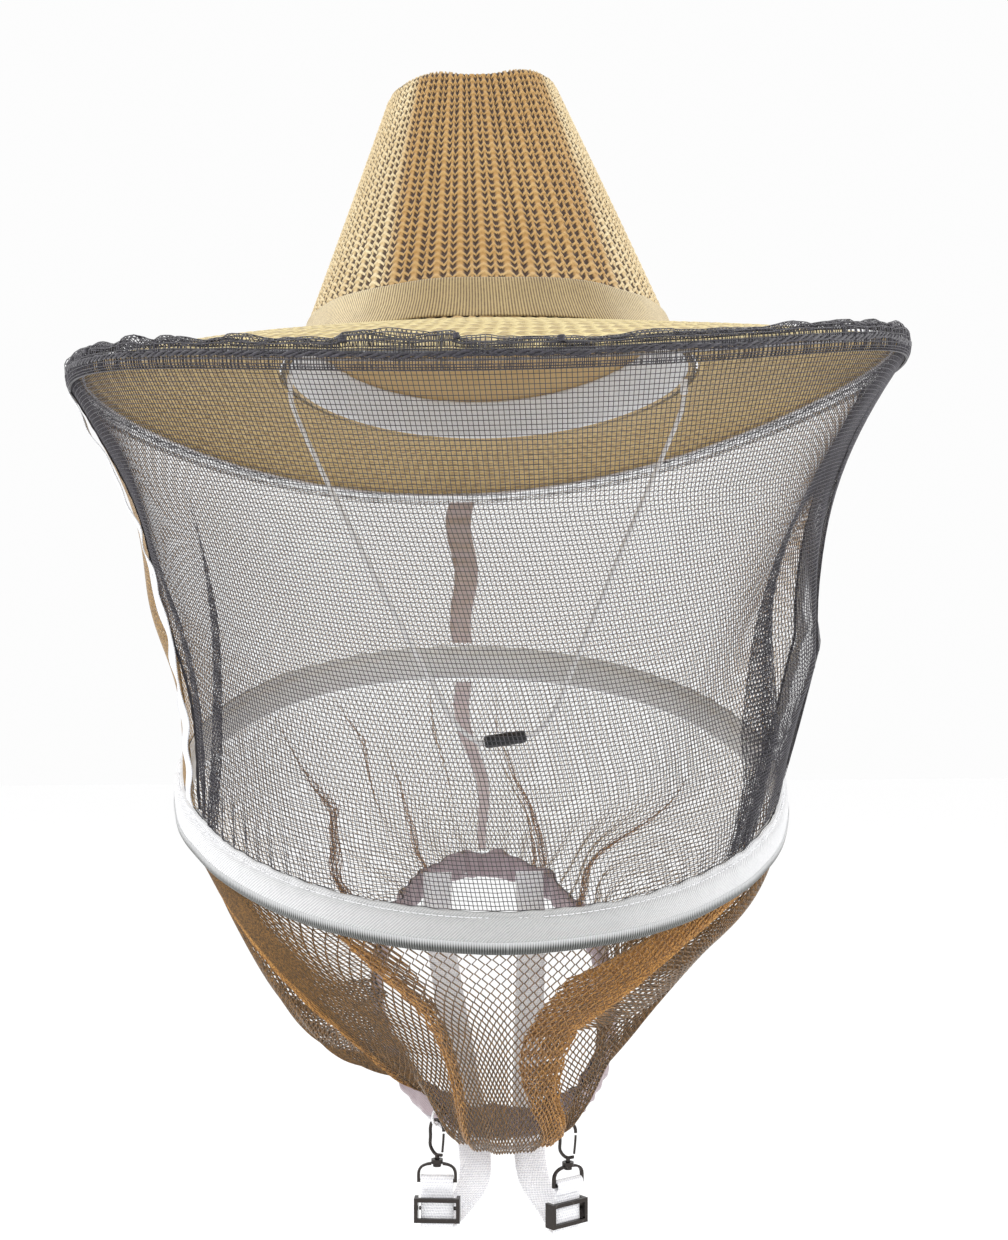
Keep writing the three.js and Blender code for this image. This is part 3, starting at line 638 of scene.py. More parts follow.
def skirt_surface():
    folds = Pleats((-PI / 2, -PI / 2), (3 * PI / 2, 3 * PI / 2), [
        ((-1.51, -1.41, -1.19, -0.93, -0.76, -0.67, -0.66, -0.68, -0.72),
         (0.09, 0.15, 0.20, 0.19, 0.12, 0.04, 0.03, 0.03, 0.03), -1),
        ((-1.48, -1.38, -1.16, -0.90, -0.73, -0.64, -0.63, -0.65, -0.69),
         (0.04, 0.07, 0.10, 0.10, 0.05, 0.01, 0.01, 0.01, 0.01), -1),
        ((-0.54, -0.44, -0.33, -0.28, -0.265, -0.262, -0.27, -0.29, -0.31),
         (0.20, 0.16, 0.09, 0.06, 0.05, 0.05, 0.05, 0.05, 0.06), -1),
        ((-0.52, -0.42, -0.31, -0.26, -0.245, -0.242, -0.25, -0.27, -0.29),
         (0.04, 0.06, 0.05, 0.03, 0.03, 0.03, 0.03, 0.03, 0.03), -1),
        ((0.95, 0.62, 0.42, 0.24, 0.215, 0.215, 0.235, 0.30, 0.38),
         (0.45, 0.43, 0.31, 0.18, 0.17, 0.15, 0.12, 0.12, 0.13), 1),
        ((0.98, 0.65, 0.45, 0.27, 0.245, 0.245, 0.265, 0.33, 0.41),
         (0.20, 0.22, 0.20, 0.13, 0.12, 0.10, 0.08, 0.08, 0.08), 1),
        ((2.12, 2.12, 2.12, 2.10, 2.10), (0, 0, 0.03, 0.07, 0.09), 1),
        ((3.02, 3.02, 2.93, 2.76, 2.60), (0, 0.01, 0.03, 0.06, 0.09), 1),
        ((3.05, 3.05, 2.96, 2.79, 2.64), (0, 0, 0.01, 0.03, 0.05), 1),
        ((3.28, 3.28, 3.26, 3.26, 3.26), (0, 0.02, 0.01, 0, 0), -1),
        ((3.53, 3.53, 3.51, 3.56, 3.66), (0, 0, 0.02, 0.05, 0.06), -1),
        ((3.68, 3.60, 3.66, 3.72, 3.80), (0, 0.03, 0.02, 0, 0), -1),
        ((3.95, 3.92, 3.86, 4.08, 4.30), (0, 0.02, 0.07, 0.09, 0.10), -1),
        ((3.97, 3.94, 3.88, 4.10, 4.32), (0, 0, 0.03, 0.05, 0.05), -1),
    ], guides=[
        (0.175, (-0.98, -0.84, -0.66, -0.52, -0.45, -0.43, -0.43, -0.45, -0.475), 2),
        (0.285, (0, 0), 4),
        (SKIRT_FRONT, (1.62, 1.62), 6),
    ])

    def surface(share, t):
        phi, out, _ = folds.place(share - np.floor(share), t)
        gather = round_ripple(phi, 14, 7, 26, 48) * 0.002 * smooth(0.25, 1.0, t) ** 1.5
        swell = round_ripple(phi, 15, 4, 3, 7) * 0.002 * np.sin(PI * t)
        return skirt_hang(phi, t) + around(phi) * (out + gather + swell)[..., None]

    return surface, folds


def make_skirt(front_material, back_material):
    surface, folds = skirt_surface()
    columns, rows = 600, 48
    shares = (np.arange(columns) + 0.5) / columns
    halves = (("skirt_front_net", shares < SKIRT_FRONT, front_material, GOLD_THREAD, 0.72, 0.95),
              ("skirt_back_net", shares > SKIRT_FRONT, back_material, BACK_THREAD, 0.44, 0.52))
    for name, keep, material, radius, width, cover in halves:
        points, faces = diamond_net(surface, shares[keep], rows, radius, THREAD_LEAN / columns)
        layered = np.repeat(folds.place(*grid(shares[keep], np.linspace(0, 1, rows + 1)))[2].ravel(), 3)
        skirt = piece(name, points, faces, material, "veil_hoop", "gold_net", ["skirt"],
                      attributes={"layered": layered})


# ---------------- straw

RIBS, STITCHES_UP, CAP_STITCHES = 50, 37, 15
ARM_LEAN, STRAND_SHIFT = 0.6, 0.06
STRAND_START, STRAND_SCATTER = 0.22, 12.9898
# The straw's painted shade: its colour is multiplied by this where the painted-shade attribute is 1.
PAINTED_SHADE_TINT = srgb(216, 190, 148)


def braid(rib, stitch):
    """Relief from 0 to 1 of two strands of slanted stitches in each rib."""
    rib = rib + STRAND_SHIFT * np.cos(2 * PI * rib)
    x = np.abs(2 * np.mod(2 * rib, 1) - 1)
    start = STRAND_START * np.sin(STRAND_SCATTER * np.floor(2 * rib))
    arm = 0.5 + 0.5 * np.cos(2 * PI * (stitch + start + ARM_LEAN * x))
    body = 1 - x**3
    return body * (0.55 + 0.45 * arm)


def straw_material(name, light, dark, hole_shade, hole_shade_strength=1.0):
    """Braided straw, with painted shade in its holes and in the creases between its stitches. The UV is (ribs,
    stitches), and a point attribute darkens it further with painted shade.
    """
    n = Nodes(name, light, 0.62, sheen=0.15)
    uv = n.uv()
    rib, stitch = n.axes(uv)
    jitter = n.between(n.noise(170, 2), -0.3, 0.3)
    sway = n.math("MULTIPLY", n.math("COSINE", n.math("MULTIPLY", rib, 2 * PI)), STRAND_SHIFT)
    strand = n.math("MULTIPLY", n.math("ADD", rib, sway), 2.0)
    start = n.math("SINE", n.math("MULTIPLY", n.math("FLOOR", strand), STRAND_SCATTER))
    x = n.math("ABSOLUTE", n.math("MULTIPLY_ADD", n.math("FRACT", strand), 2.0, -1.0))
    offset = n.math("MULTIPLY_ADD", start, STRAND_START, jitter)
    lean = n.math("ADD", n.math("MULTIPLY_ADD", x, ARM_LEAN, stitch), offset)
    arm = n.math("MULTIPLY_ADD", n.math("COSINE", n.math("MULTIPLY", lean, 2 * PI)), 0.5, 0.5)
    stretched = n.new("ShaderNodeVectorMath", {0: uv, 1: (14, 5, 1)}, operation="MULTIPLY").outputs[0]
    fibres = n.noise(3, 3, 0.6, stretched)
    gap = n.math("MULTIPLY", n.step(x, 0.2, 0.62), n.step(arm, 0.78, 0.46))
    crease = n.step(arm, 0.6, 0.1)
    straw = n.mix(n.step(fibres, 0.3, 0.72), rgba(dark), rgba(light))
    patch = n.mix(n.step(n.noise(26, 3), 0.35, 0.7), rgba(dark), straw)
    patched = n.mix(0.6, patch, straw)
    stitches = n.mix(n.step(n.noise(330, 2), 0.35, 0.65), rgba(dark), patched)
    # Painted shade in the creases between stitches.
    shaded = n.mix(n.math("MULTIPLY", crease, 0.8), n.mix(0.4, patched, stitches), rgba(dark))
    # Painted shade in the braid's holes.
    hole_shaded = n.mix(n.math("MULTIPLY", gap, hole_shade_strength), shaded, rgba(hole_shade))
    # Painted shade where the point attribute marks it.
    n.colour(n.tinted(hole_shaded, PAINTED_SHADE_TINT))
    n.rough(fibres, 0.5, 0.75)
    height = n.math("MULTIPLY_ADD", fibres, 0.25, n.math("SUBTRACT", arm, n.math("MULTIPLY", gap, 1.5)))
    n.bump(height, 0.0006, 0.8)
    return n.material


def make_crown(material):
    """The outside from the brim to the tip, and back down inside as a smooth lining."""
    columns, rows, cap_rows, relief, tip = 480, 150, 26, 0.0019, 0.02
    angle = turns(columns)
    phi, h = grid(angle, np.linspace(0, 1, rows + 1))
    cap_phi, share = grid(angle, np.linspace(1, tip, cap_rows + 1)[1:])
    inner_phi, inner_share = grid(angle, np.linspace(tip, 1, 7)[:-1])
    lining_phi, lining_h = grid(angle, np.linspace(1, 0, 19))
    rib, stitch = phi / (2 * PI) * RIBS, h * STITCHES_UP
    cap_rib, cap_stitch = cap_phi / (2 * PI) * RIBS, STITCHES_UP + (1 - share) * CAP_STITCHES
    points = np.concatenate([
        crown_wall(phi, h, relief * (braid(rib, stitch) - 0.5)),
        crown_cap(cap_phi, share, relief * (braid(cap_rib, cap_stitch) - 0.5)),
        crown_cap(inner_phi, inner_share, -STRAW), crown_wall(lining_phi, lining_h, -STRAW)], 1)
    faces = grid_faces(columns, points.shape[1], closed_rows=True, closed_columns=True)
    inside = np.zeros((columns, inner_share.shape[1] + lining_h.shape[1]))
    # Painted shade: dark over the front dent between its ridges, less near the brim, and at 0.3 over the top.
    ridge = lerp(0.62, 0.78, h)
    front = smooth(ridge + 0.07, ridge - 0.07, np.abs(wrapped(phi) - 0.02))
    front = front * (0.55 + 0.45 * smooth(0.02, 0.3, h))
    uv = [np.concatenate([rib, cap_rib, inside + 0.25], 1), np.concatenate([stitch, cap_stitch, inside], 1)]
    worn = np.concatenate([front, np.full_like(share, 0.3), inside], 1)
    piece("straw_crown", points, faces, material, "hat", "straw", ["crown"], uv=np.stack(uv, -1),
          attributes={"worn": worn}, period=(RIBS, 0))


BRIM_RINGS, BRIM_STITCHES = 12, 150


def make_brim(material):
    """The top from the crown out to the edge, and the underside back in."""
    columns, rows, relief = 480, 50, 0.0007
    across = np.linspace(0.004, 1, rows)
    phi, v = grid(turns(columns), np.concatenate([across, across[::-1]]))
    under = np.broadcast_to(np.arange(2 * rows) >= rows, phi.shape)
    ring, stitch = v * BRIM_RINGS, phi / (2 * PI) * BRIM_STITCHES
    height = STRAW / 2 + relief * (braid(ring, stitch) - 1) * smooth(0, 0.02, v) * smooth(1, 0.98, v)
    points = brim_surface(phi, v) + up(phi.shape, np.where(under, -height, height))
    faces = grid_faces(columns, 2 * rows, closed_rows=True, closed_columns=True)
    # Painted shade: the underside at 0.6 of the straw's shade colour.
    piece("straw_brim", points, faces, material, "hat", "straw", ["brim"], uv=np.stack([ring, stitch], -1),
          attributes={"worn": 0.6 * under}, period=(0, BRIM_STITCHES))


# ---------------- woven bands

def ring_band(place, outline, columns):
    """A band round a ring. place(phi) gives (origin, out), and outline(phi) the (out, up) of its section."""
    phi = turns(columns)
    origin, out = place(phi)
    section = outline(phi)
    points = origin[:, None] + section[..., 0:1] * out[:, None] + up(section.shape[:2], section[..., 1])
    return points, grid_faces(columns, section.shape[1], closed_rows=True)


def section_at(phi, corners):
    """A section's (out, up) corners in mm, one copy for each angle."""
    corners = np.asarray(corners) / 1000
    return np.broadcast_to(corners, (len(phi),) + corners.shape).copy()


def cloth_material(name, colour, shade, scale, strength, roughness=0.85, ribs=0.0, shade_tint=None):
    """Woven cloth. The UV is in millimetres: across the band, then along it. ribs is how much the ribs that
    cross the band stand out from the weave. Where a point attribute marks it, the last colour, if given, is
    painted shade over it."""
    n = Nodes(name, colour, roughness, sheen=0.4)
    u, v = n.axes(n.uv())
    slant = n.math("ADD", u, n.math("MULTIPLY", v, 1.0 - ribs))
    wave_u = n.math("SINE", n.math("MULTIPLY", slant, 2 * PI / scale))
    wave_v = n.math("SINE", n.math("MULTIPLY", v, 2 * PI / scale))
    weave = n.math("MULTIPLY_ADD", n.mix(ribs, wave_u, wave_v), 0.5, 0.5)
    loose = n.noise(700, 3, 0.6)
    patch = n.noise(45, 3)
    tone = n.math("ADD", n.math("MULTIPLY", weave, 0.55), n.math("MULTIPLY", loose, 0.45))
    base = n.mix(n.step(tone, 0.1, 0.75), rgba(shade), rgba(colour))
    worn = n.mix(n.math("MULTIPLY", n.step(patch, 0.45, 0.8), 0.25), base, rgba(shade))
    # Painted shade, where a shade colour is given.
    n.colour(n.tinted(worn, shade_tint) if shade_tint else worn)
    n.rough(loose, roughness - 0.1, min(1.0, roughness + 0.1))
    n.bump(n.math("MULTIPLY_ADD", loose, 0.3, weave), 0.00025, strength)
    return n.material


def binding_material(name, white, shade_grey, dark):
    """The casing's ribbed lower edge, white cloth: white where it starts, and painted shade where it turns
    under, darkest between the ribs.
    """
    n = Nodes(name, shade_grey, 0.8, sheen=0.3)
    across, along = n.axes(n.uv())
    rib = n.math("MULTIPLY_ADD", n.math("SINE", n.math("MULTIPLY", along, 2 * PI)), 0.5, 0.5)
    loose = n.noise(500, 3, 0.6)
    edge = n.math("ADD", across, n.math("MULTIPLY", rib, 1.2))
    under = n.mix(n.step(n.math("ADD", rib, loose), 0.5, 1.4), rgba(dark), rgba(shade_grey))
    n.colour(n.mix(n.step(edge, 3.2, 6.6), under, rgba(white)))
    n.rough(loose, 0.7, 0.95)
    n.bump(rib, 0.0003, 0.9)
    return n.material


def wall_band(name, section, start, girth, columns, waves, material, slot, replaces, attributes=None):
    """A band along the crown's wall. section is its (out, up) corners in mm, and waves are its height's, its
    depth's, and how far out a corner is that the depth's moves."""
    phi = turns(columns)
    lift, depth, loose = waves
    points, uv = [], []
    for grow, rise in section:
        h = (start + rise / 1000 + lift) / (TOP_Z - root_z(phi))
        points.append(crown_wall(phi, h, grow / 1000 + depth * (abs(grow) > loose)))
        uv.append(np.stack([np.full(columns, rise), phi / (2 * PI) * girth * 1000], -1))
    faces = grid_faces(columns, len(section), True, True)
    return piece(name, np.stack(points, 1), faces, material, "hat", slot, [replaces], uv=np.stack(uv, 1),
                 attributes=attributes, period=(0, girth * 1000))


def make_hat_band(material):
    columns, girth = 480, 0.62
    phi = turns(columns)
    section = [(0.75, 0), (1.55, 0.15), (1.8, 1.0), (1.75, 4), (1.6, 9), (1.75, 14), (1.8, 17), (1.55, 17.85),
               (0.75, 18), (0.7, 9)]
    waves = 0.0005 * round_ripple(phi, 32, 4, 3, 9), 0.00035 * round_ripple(phi, 31, 6, 5, 22), 1
    # Painted shade over the ribbon's front, fading towards its sides.
    worn = np.repeat(smooth(0.95, 0.35, np.abs(wrapped(phi) - 0.02)), len(section))
    band = wall_band("ribbon_band", section, 0.0028, girth, columns, waves, material, "ribbon", "hat_band",
                     {"worn": worn})


def make_sweatband(material):
    columns, girth = 420, 0.59
    section = [(-3.0, 0), (-3.7, 0.2), (-3.85, 1.2), (-3.7, 5), (-3.6, 10), (-3.8, 15), (-3.85, 17.4),
               (-3.6, 18.3), (-2.9, 18.5), (-2.7, 17), (-2.65, 9), (-2.7, 1.4)]
    waves = 0, 0.0003 * round_ripple(turns(columns), 41, 6, 20, 50), 3.2
    band = wall_band("sweatband_cloth", section, 0.0006, girth, columns, waves, material, "white_fabric",
                     "sweatband")


# ---------------- veil hem

# The hem's section: the share of the way over the edge, and how far out and up it is there, in mm.
RUFFLE = ((0.0, -5.0, 2.9), (0.14, -3.0, 5.2), (0.30, 0.6, 5.8), (0.45, 3.2, 3.2), (0.60, 3.8, -0.6),
          (0.80, 3.5, -4.4), (1.0, 2.6, -6.6))


def hem_surface(phi, s, layer):
    """The gathered net round the brim's edge: s goes from the top of the brim, over the edge, to the veil."""
    stops = np.array(RUFFLE)
    out = np.interp(s, stops[:, 0], stops[:, 1]) / 1000
    rise = np.interp(s, stops[:, 0], stops[:, 2]) / 1000
    w = wrapped(phi)
    top = hill(s, 0.27, 0.2)
    lap = smooth(-0.40, -0.37, w) * (1 - smooth(-0.150, -0.138, w))
    rise = rise + top * (0.0011 * round_ripple(phi, 51 + layer, 6, 9, 40) + 0.0028 * lap - 0.0009 * layer)
    puff = (0.35 + 0.65 * top) * 0.0011 * round_ripple(phi, 61 + layer, 7, 70, 150)
    out = out + puff * np.sin(PI * np.clip(s * 1.04, 0, 1))
    out = out + top * 0.0008 * round_ripple(phi, 71 + layer, 5, 10, 30) - 0.0006 * layer
    return brim_edge(phi) + around(phi) * out[..., None] + up(phi.shape, rise)


def hem_back(phi):
    """0 along the front of the hem, where its net is thick, and 1 along the back."""
    return smooth(1.2, 1.9, np.abs(wrapped(phi)))


def make_veil_hem(material):
    columns, rows = 600, 11
    parts = []
    for layer in (0, 1):
        shift = (0.5 * layer + np.sin(np.arange(columns) * 0.9) * 0.25) * 2 * PI / columns
        phi, s = grid(turns(columns) + shift, np.linspace(0, 1, rows + 1))
        cloth = hem_surface(phi, s, layer)
        thick = BLACK_THREAD * lerp(1.3, 0.6, hem_back(phi))
        parts.append(threads(cloth, around(phi), thick))
        loops = np.concatenate([cloth, cloth[:1]], 0).transpose(1, 0, 2)
        parts.append(threads(loops, (0, 0, 1), np.concatenate([thick, thick[:1]], 0).T))
    phi = turns(720)
    for strand in range(3):
        twist = phi * 90 + strand * 2 * PI / 3
        line = brim_edge(phi) + around(phi) * (0.0036 + 0.0005 * np.cos(twist))[:, None]
        rise = -0.0010 + 0.0009 * np.sin(twist) + 0.0006 * round_ripple(phi, 81, 5, 8, 30)
        line = line + up(phi.shape, rise)
        thick = (0.00045 + 0.00022 * round_ripple(phi, 82 + strand, 5, 40, 90)) * lerp(1, 0.4, hem_back(phi))
        parts.append(tube(line, np.maximum(thick, 0.00012), 5, closed=True))
    hem = piece("veil_hem_net", *merged(*parts), material, "hat", "black_net", ["veil_hem"])
    make_hem_knots(material)


# Each tuft's angle, and its size and its height over the brim's edge in mm.
KNOTS = ((-0.368, 2.2, 5.0), (0.06, 2.0, 4.2), (-0.143, 1.5, 6.0), (-1.15, 1.8, 3.0), (1.0, 1.6, 3.5))


def make_hem_knots(material):
    """Tufts of thread where the gathered hem is tied off."""
    u = np.linspace(-1, 1, 60)
    coil = 3 * PI * (u + 1)
    knots = []
    for angle, size, rise in KNOTS:
        wrap = np.stack([np.cos(coil), np.sin(coil), u], -1) * size / 1000
        a = np.array([angle])
        centre = brim_edge(a)[0] + around(a)[0] * 0.003 + np.array([0, 0, rise / 1000])
        knots.append(tube(centre + wrap * (0.55, 0.5, 0.55), 0.0005, 6, reference=(0.3, 0.2, 1)))
    piece("hem_knots", *merged(*knots), material, "hat", "black_net")


# ---------------- hoop casing

# Half of the casing's section and all of its binding's, as (out, up) from the hoop's wire, in mm.
CASING_SIDE = ((0, -8.1), (2.3, -7.7), (3.5, -6.5), (3.9, -4.5), (4.0, -2), (4.0, 1), (3.7, 3.6), (2.9, 5.2),
               (1.7, 6.0), (1.5, 6.6), (1.8, 7.3), (1.5, 8.2), (0.3, 8.5))
BINDING_SIDE = ((2.0, -8.3), (3.4, -7.3), (4.15, -6.0), (4.35, -4.6), (4.3, -3.4), (4.05, -3.1))
CASING_COLUMNS = 620


def casing_thickness(phi, side):
    """Slow waves in the casing, and the lap at its front where its ends are sewn; side is +1 outside."""
    w = wrapped(phi)
    lap = smooth(-0.085, -0.078, w) * (1 - smooth(0.104, 0.111, w))
    return 0.0003 * round_ripple(phi, 92, 6, 8, 30)[:, None] + 0.0005 * lap[:, None] * side


def casing_outline(phi):
    outer = np.array(CASING_SIDE)
    section = section_at(phi, np.concatenate([outer[::-1], outer[1:] * (-1, 1)]))
    side, rise = np.sign(section[0, :, 0]), section[0, :, 1]
    pucker = 0.00035 * round_ripple(phi, 91, 7, 60, 120)[:, None] * hill(rise, 0.0055, 0.0022)
    section[..., 0] += pucker * side + casing_thickness(phi, side)
    section[..., 1] += 0.0003 * round_ripple(phi, 93, 6, 12, 60)[:, None] * (rise > 0.006)
    return section


def binding_outline(phi):
    section = section_at(phi, BINDING_SIDE)
    section[..., 0] += casing_thickness(phi, 1)
    return section


def hoop_place(phi):
    return hoop_ring(phi), around(phi)


def ring_uv(columns, girth, across):
    """(across, along) in mm for a band round a ring."""
    along, across = grid(turns(columns) / (2 * PI) * girth, across)
    return np.stack([across, along], -1)


def make_casing_stitches(material):
    count, length = 330, 0.0019
    dip = np.array([0, 0.0004, 0.0004, 0])
    stitches = []
    for phi in turns(count):
        a = phi + np.linspace(-0.5, 0.5, 4) * length / HOOP_RADIUS
        line = hoop_ring(a) + around(a) * (0.0017 + dip)[:, None] + up((4,), 0.0062)
        stitches.append(tube(line, 0.0002, 5))
    piece("casing_stitches", *merged(*stitches), material, "veil_hoop", "white_fabric")


def make_casing(cloth, binding, stitch):
    girth = 2 * PI * HOOP_RADIUS * 1000
    points, faces = ring_band(hoop_place, casing_outline, CASING_COLUMNS)
    run = np.cumsum(np.linalg.norm(np.diff(casing_outline(np.zeros(1))[0], axis=0, prepend=0), axis=-1)) * 1000
    # Painted shade over the casing's front.
    worn = np.repeat(hill(wrapped(turns(CASING_COLUMNS)), 0, 0.8), points.shape[1])
    casing = piece("casing", points, faces, cloth, "veil_hoop", "white_fabric", ["hoop_casing"],
                   uv=ring_uv(CASING_COLUMNS, girth, run), attributes={"worn": worn}, period=(0, girth))
    piece("casing_binding", *ring_band(hoop_place, binding_outline, CASING_COLUMNS), binding, "veil_hoop",
          "white_fabric", uv=ring_uv(CASING_COLUMNS, girth, (0, 1.6, 3.1, 4.5, 5.7, 6.1)), period=(0, girth))
    make_casing_stitches(stitch)


# ---------------- neck hem

def neck_hem_place(phi):
    return neck_ring(phi) + up(phi.shape, NECK_HEM_RISE * hill(wrapped(phi), 0, 0.9)), neck_out(phi)


NECK_HEM_OUTLINE = ((0.4, 7.0), (1.0, 6.6), (1.8, 5.2), (2.4, 3.0), (2.5, 0.5), (1.9, -1.8), (2.1, -3.4),
                    (1.6, -5.2), (0, -5.6), (-1.5, -5.2), (-2.1, -3.6), (-1.9, -1.8), (-2.3, 2.0), (-1.8, 5.0),
                    (-1.0, 6.6), (-0.4, 7.0))


def neck_hem_outline(phi):
    section = section_at(phi, NECK_HEM_OUTLINE)
    rise = section[0, :, 1]
    gather = round_ripple(phi, 101, 8, 30, 56)[:, None]
    high, low = smooth(0.003, 0.0068, rise), smooth(-0.003, -0.0055, rise)
    section[..., 0] += 0.0012 * gather * (0.45 + 0.55 * smooth(-0.001, 0.006, np.abs(rise)))
    section[..., 1] += 0.0011 * round_ripple(phi, 102, 6, 12, 34)[:, None] * high
    section[..., 1] -= 0.0007 * np.abs(round_ripple(phi, 103, 6, 20, 50))[:, None] * low
    return section


def make_neck_hem(material):
    columns, girth = 640, PI * (NECK_A + NECK_B) * 1000 * NECK_FULLNESS
    points, faces = ring_band(neck_hem_place, neck_hem_outline, columns)
    hem = piece("neck_hem_cloth", points, faces, material, "veil_hoop", "mauve_fabric", ["neck_hem"],
                uv=ring_uv(columns, girth, np.linspace(0, 30, points.shape[1])), period=(0, girth))


# ---------------- tapes

TAPE_OFF, TAPE_THICKNESS, TAPE_RADIUS, TAPE_LENGTH = 0.0022, 0.0006, 0.15, 190


def tape(name, surface, middle, width, off, material, slot, replaces, body=None, wobble=0.0006, rows=90):
    """A ribbon along a seam: middle(t) is its angle, and off its distance outside the net."""
    t = np.linspace(0.015, 0.985, rows)
    across = np.array([-0.5, -0.5, -0.3, 0, 0.3, 0.5, 0.5, 0.3, 0, -0.3])
    depth = np.array([-0.5, 0.5, 0.6, 0.5, 0.6, 0.5, -0.5, -0.5, -0.5, -0.5]) * TAPE_THICKNESS
    t, a = grid(t, across)
    phi = middle(t) + a * width / TAPE_RADIUS
    wave = wobble * (ripple(t * 30, 7) + 0.8 * a * ripple(t * 22, 9) * 2)
    points = surface(phi, t) + around(phi) * (off + depth[None] + wave)[..., None]
    uv = np.stack([a * width * 1000, t * TAPE_LENGTH], -1)
    faces = grid_faces(rows, len(across), closed_columns=True)
    return piece(name, points, faces, material, body, slot, [replaces], uv=uv)


def make_tapes(white, mauve):
    """The tapes; those that cross from the hat to the hoop are returned."""
    made = []
    for side, seam in (("left", SEAM_LEFT), ("right", SEAM_RIGHT)):
        made.append(tape(f"side_ribbon_{side}", veil_point, lambda t, seam=seam: lerp(*seam, t), 0.0105,
                         TAPE_OFF, white, "white_fabric", f"side_tape_{side}"))
    made.append(tape("back_ribbon", veil_point, lambda t: PI + 0.012 * np.sin(t * 9), 0.0115, -TAPE_OFF, mauve,
                     "mauve_fabric", "back_tape", wobble=0.001))
    tape("skirt_ribbon", skirt_point, lambda t: PI - 0.05 * t + 0.03 * np.sin(t * 8), 0.0095, -TAPE_OFF, mauve,
         "mauve_fabric", "skirt_tape", "veil_hoop", wobble=0.001, rows=60)
    return made


# ---------------- chin cord and bead

CHIN_X, CHIN_Z, CHIN_LOW = 0.091, -0.0218, -0.181
# Half of the cord's way: its place from the middle and its height, in mm.
CHIN_ROUTE = ((91, -22), (90, -27.8), (77, -57.8), (63, -87.8), (49, -117.8), (35, -146.8), (23, -170.8),
              (17, -177.4), (11.8, -180.7), (6.8, -181))
CORD_RADIUS = 0.0011
CHIN_LEAN, CHIN_SLOPE, BEAD_HALF = 0.0075, 0.14, 0.0095


def chin_point(x, z):
    low = ((CHIN_Z - z) / (CHIN_Z - CHIN_LOW)) ** 2
    rise = CHIN_SLOPE * min(max(x, -1.5 * BEAD_HALF), 1.5 * BEAD_HALF) * low**4
    return x + CHIN_LEAN * low, 0, z + rise


def spline(stops, steps):
    """A centripetal Catmull-Rom curve through stops, with steps + 1 points evenly through its spans."""
    p = np.asarray(stops, float)
    p = np.concatenate([[2 * p[0] - p[1]], p, [2 * p[-1] - p[-2]]])
    gap = np.maximum(np.sum(np.diff(p, axis=0) ** 2, axis=1) ** 0.25, 1e-6)
    t = np.linspace(0, len(stops) - 1, steps + 1)
    i = np.minimum(t.astype(int), len(stops) - 2)
    f = (t - i)[:, None]
    p0, p1, p2, p3 = (p[i + k] for k in range(4))
    d0, d1, d2 = (gap[i + k][:, None] for k in range(3))
    m1 = ((p1 - p0) / d0 - (p2 - p0) / (d0 + d1) + (p2 - p1) / d1) * d1
    m2 = ((p2 - p1) / d1 - (p3 - p1) / (d1 + d2) + (p3 - p2) / d2) * d1
    start = (2 * f**3 - 3 * f**2 + 1) * p1 + (f**3 - 2 * f**2 + f) * m1
    return start + (-2 * f**3 + 3 * f**2) * p2 + (f**3 - f**2) * m2


def chin_path():
    left = [chin_point(-x / 1000, z / 1000) for x, z in CHIN_ROUTE]
    right = [chin_point(x / 1000, z / 1000) for x, z in reversed(CHIN_ROUTE)]
    return spline(left + [chin_point(0, CHIN_LOW)] + right, 300)


# Half of the sleeve's outline: its radius and its place along the cord, in mm.
SLEEVE_OUTLINE = ((1.45, 0), (1.6, -9.5), (2.3, -9.6), (2.75, -9.0), (3.0, -8.0), (3.0, -6.0), (2.9, -5.8),
                  (2.9, -5.4), (3.0, -5.2))


def make_sleeve(material):
    """A lathed sleeve on the cord, grooved near both ends, with a hollow middle."""
    half = np.array(SLEEVE_OUTLINE)
    profile = np.concatenate([half[1:], half[:0:-1] * (1, -1), half[:1]]) / 1000
    turn, k = grid(turns(48), np.arange(len(profile)))
    radius, along = profile[k].transpose(2, 0, 1)
    points = np.stack([along, radius * np.cos(turn), radius * np.sin(turn)], -1)
    tilt = np.array(Matrix.Rotation(-math.atan(CHIN_SLOPE), 3, "Y"))
    points = points @ tilt.T + (CHIN_LEAN, 0, CHIN_LOW)
    faces = grid_faces(*turn.shape, True, True)
    piece("chin_sleeve", points, faces, material, "chin_strap", "black_bead", ["chin_bead"])


def make_chin_cord(material, bead_material):
    sides, strand = 16, 0.0016
    path = chin_path()
    run = length_along(path)
    radius = CORD_RADIUS * (1 + 0.05 * np.sin(run * 2 * PI / strand))
    points, faces = tube(path, radius, sides, reference=(0, 1, 0))
    along, across = grid(run * 1000, np.arange(sides) / sides * 7)
    cord = piece("chin_braid", points, faces, material, "chin_strap", "white_cord", ["chin_cord"],
                 uv=np.stack([across, along], -1))
    make_sleeve(bead_material)
    make_chin_tab("left", -1, material)
    make_chin_tab("right", 1, material)


TAB_WIDTH, TAB_DEPTH, TAB_HEIGHT, TAB_CLEAR = 0.0024, 0.008, 0.007, 0.0006
TAB_OUTLINE = ((-0.5, 0.08), (-0.42, 0), (0.42, 0), (0.5, 0.08), (0.5, 0.92), (0.42, 1), (-0.42, 1),
               (-0.5, 0.92))


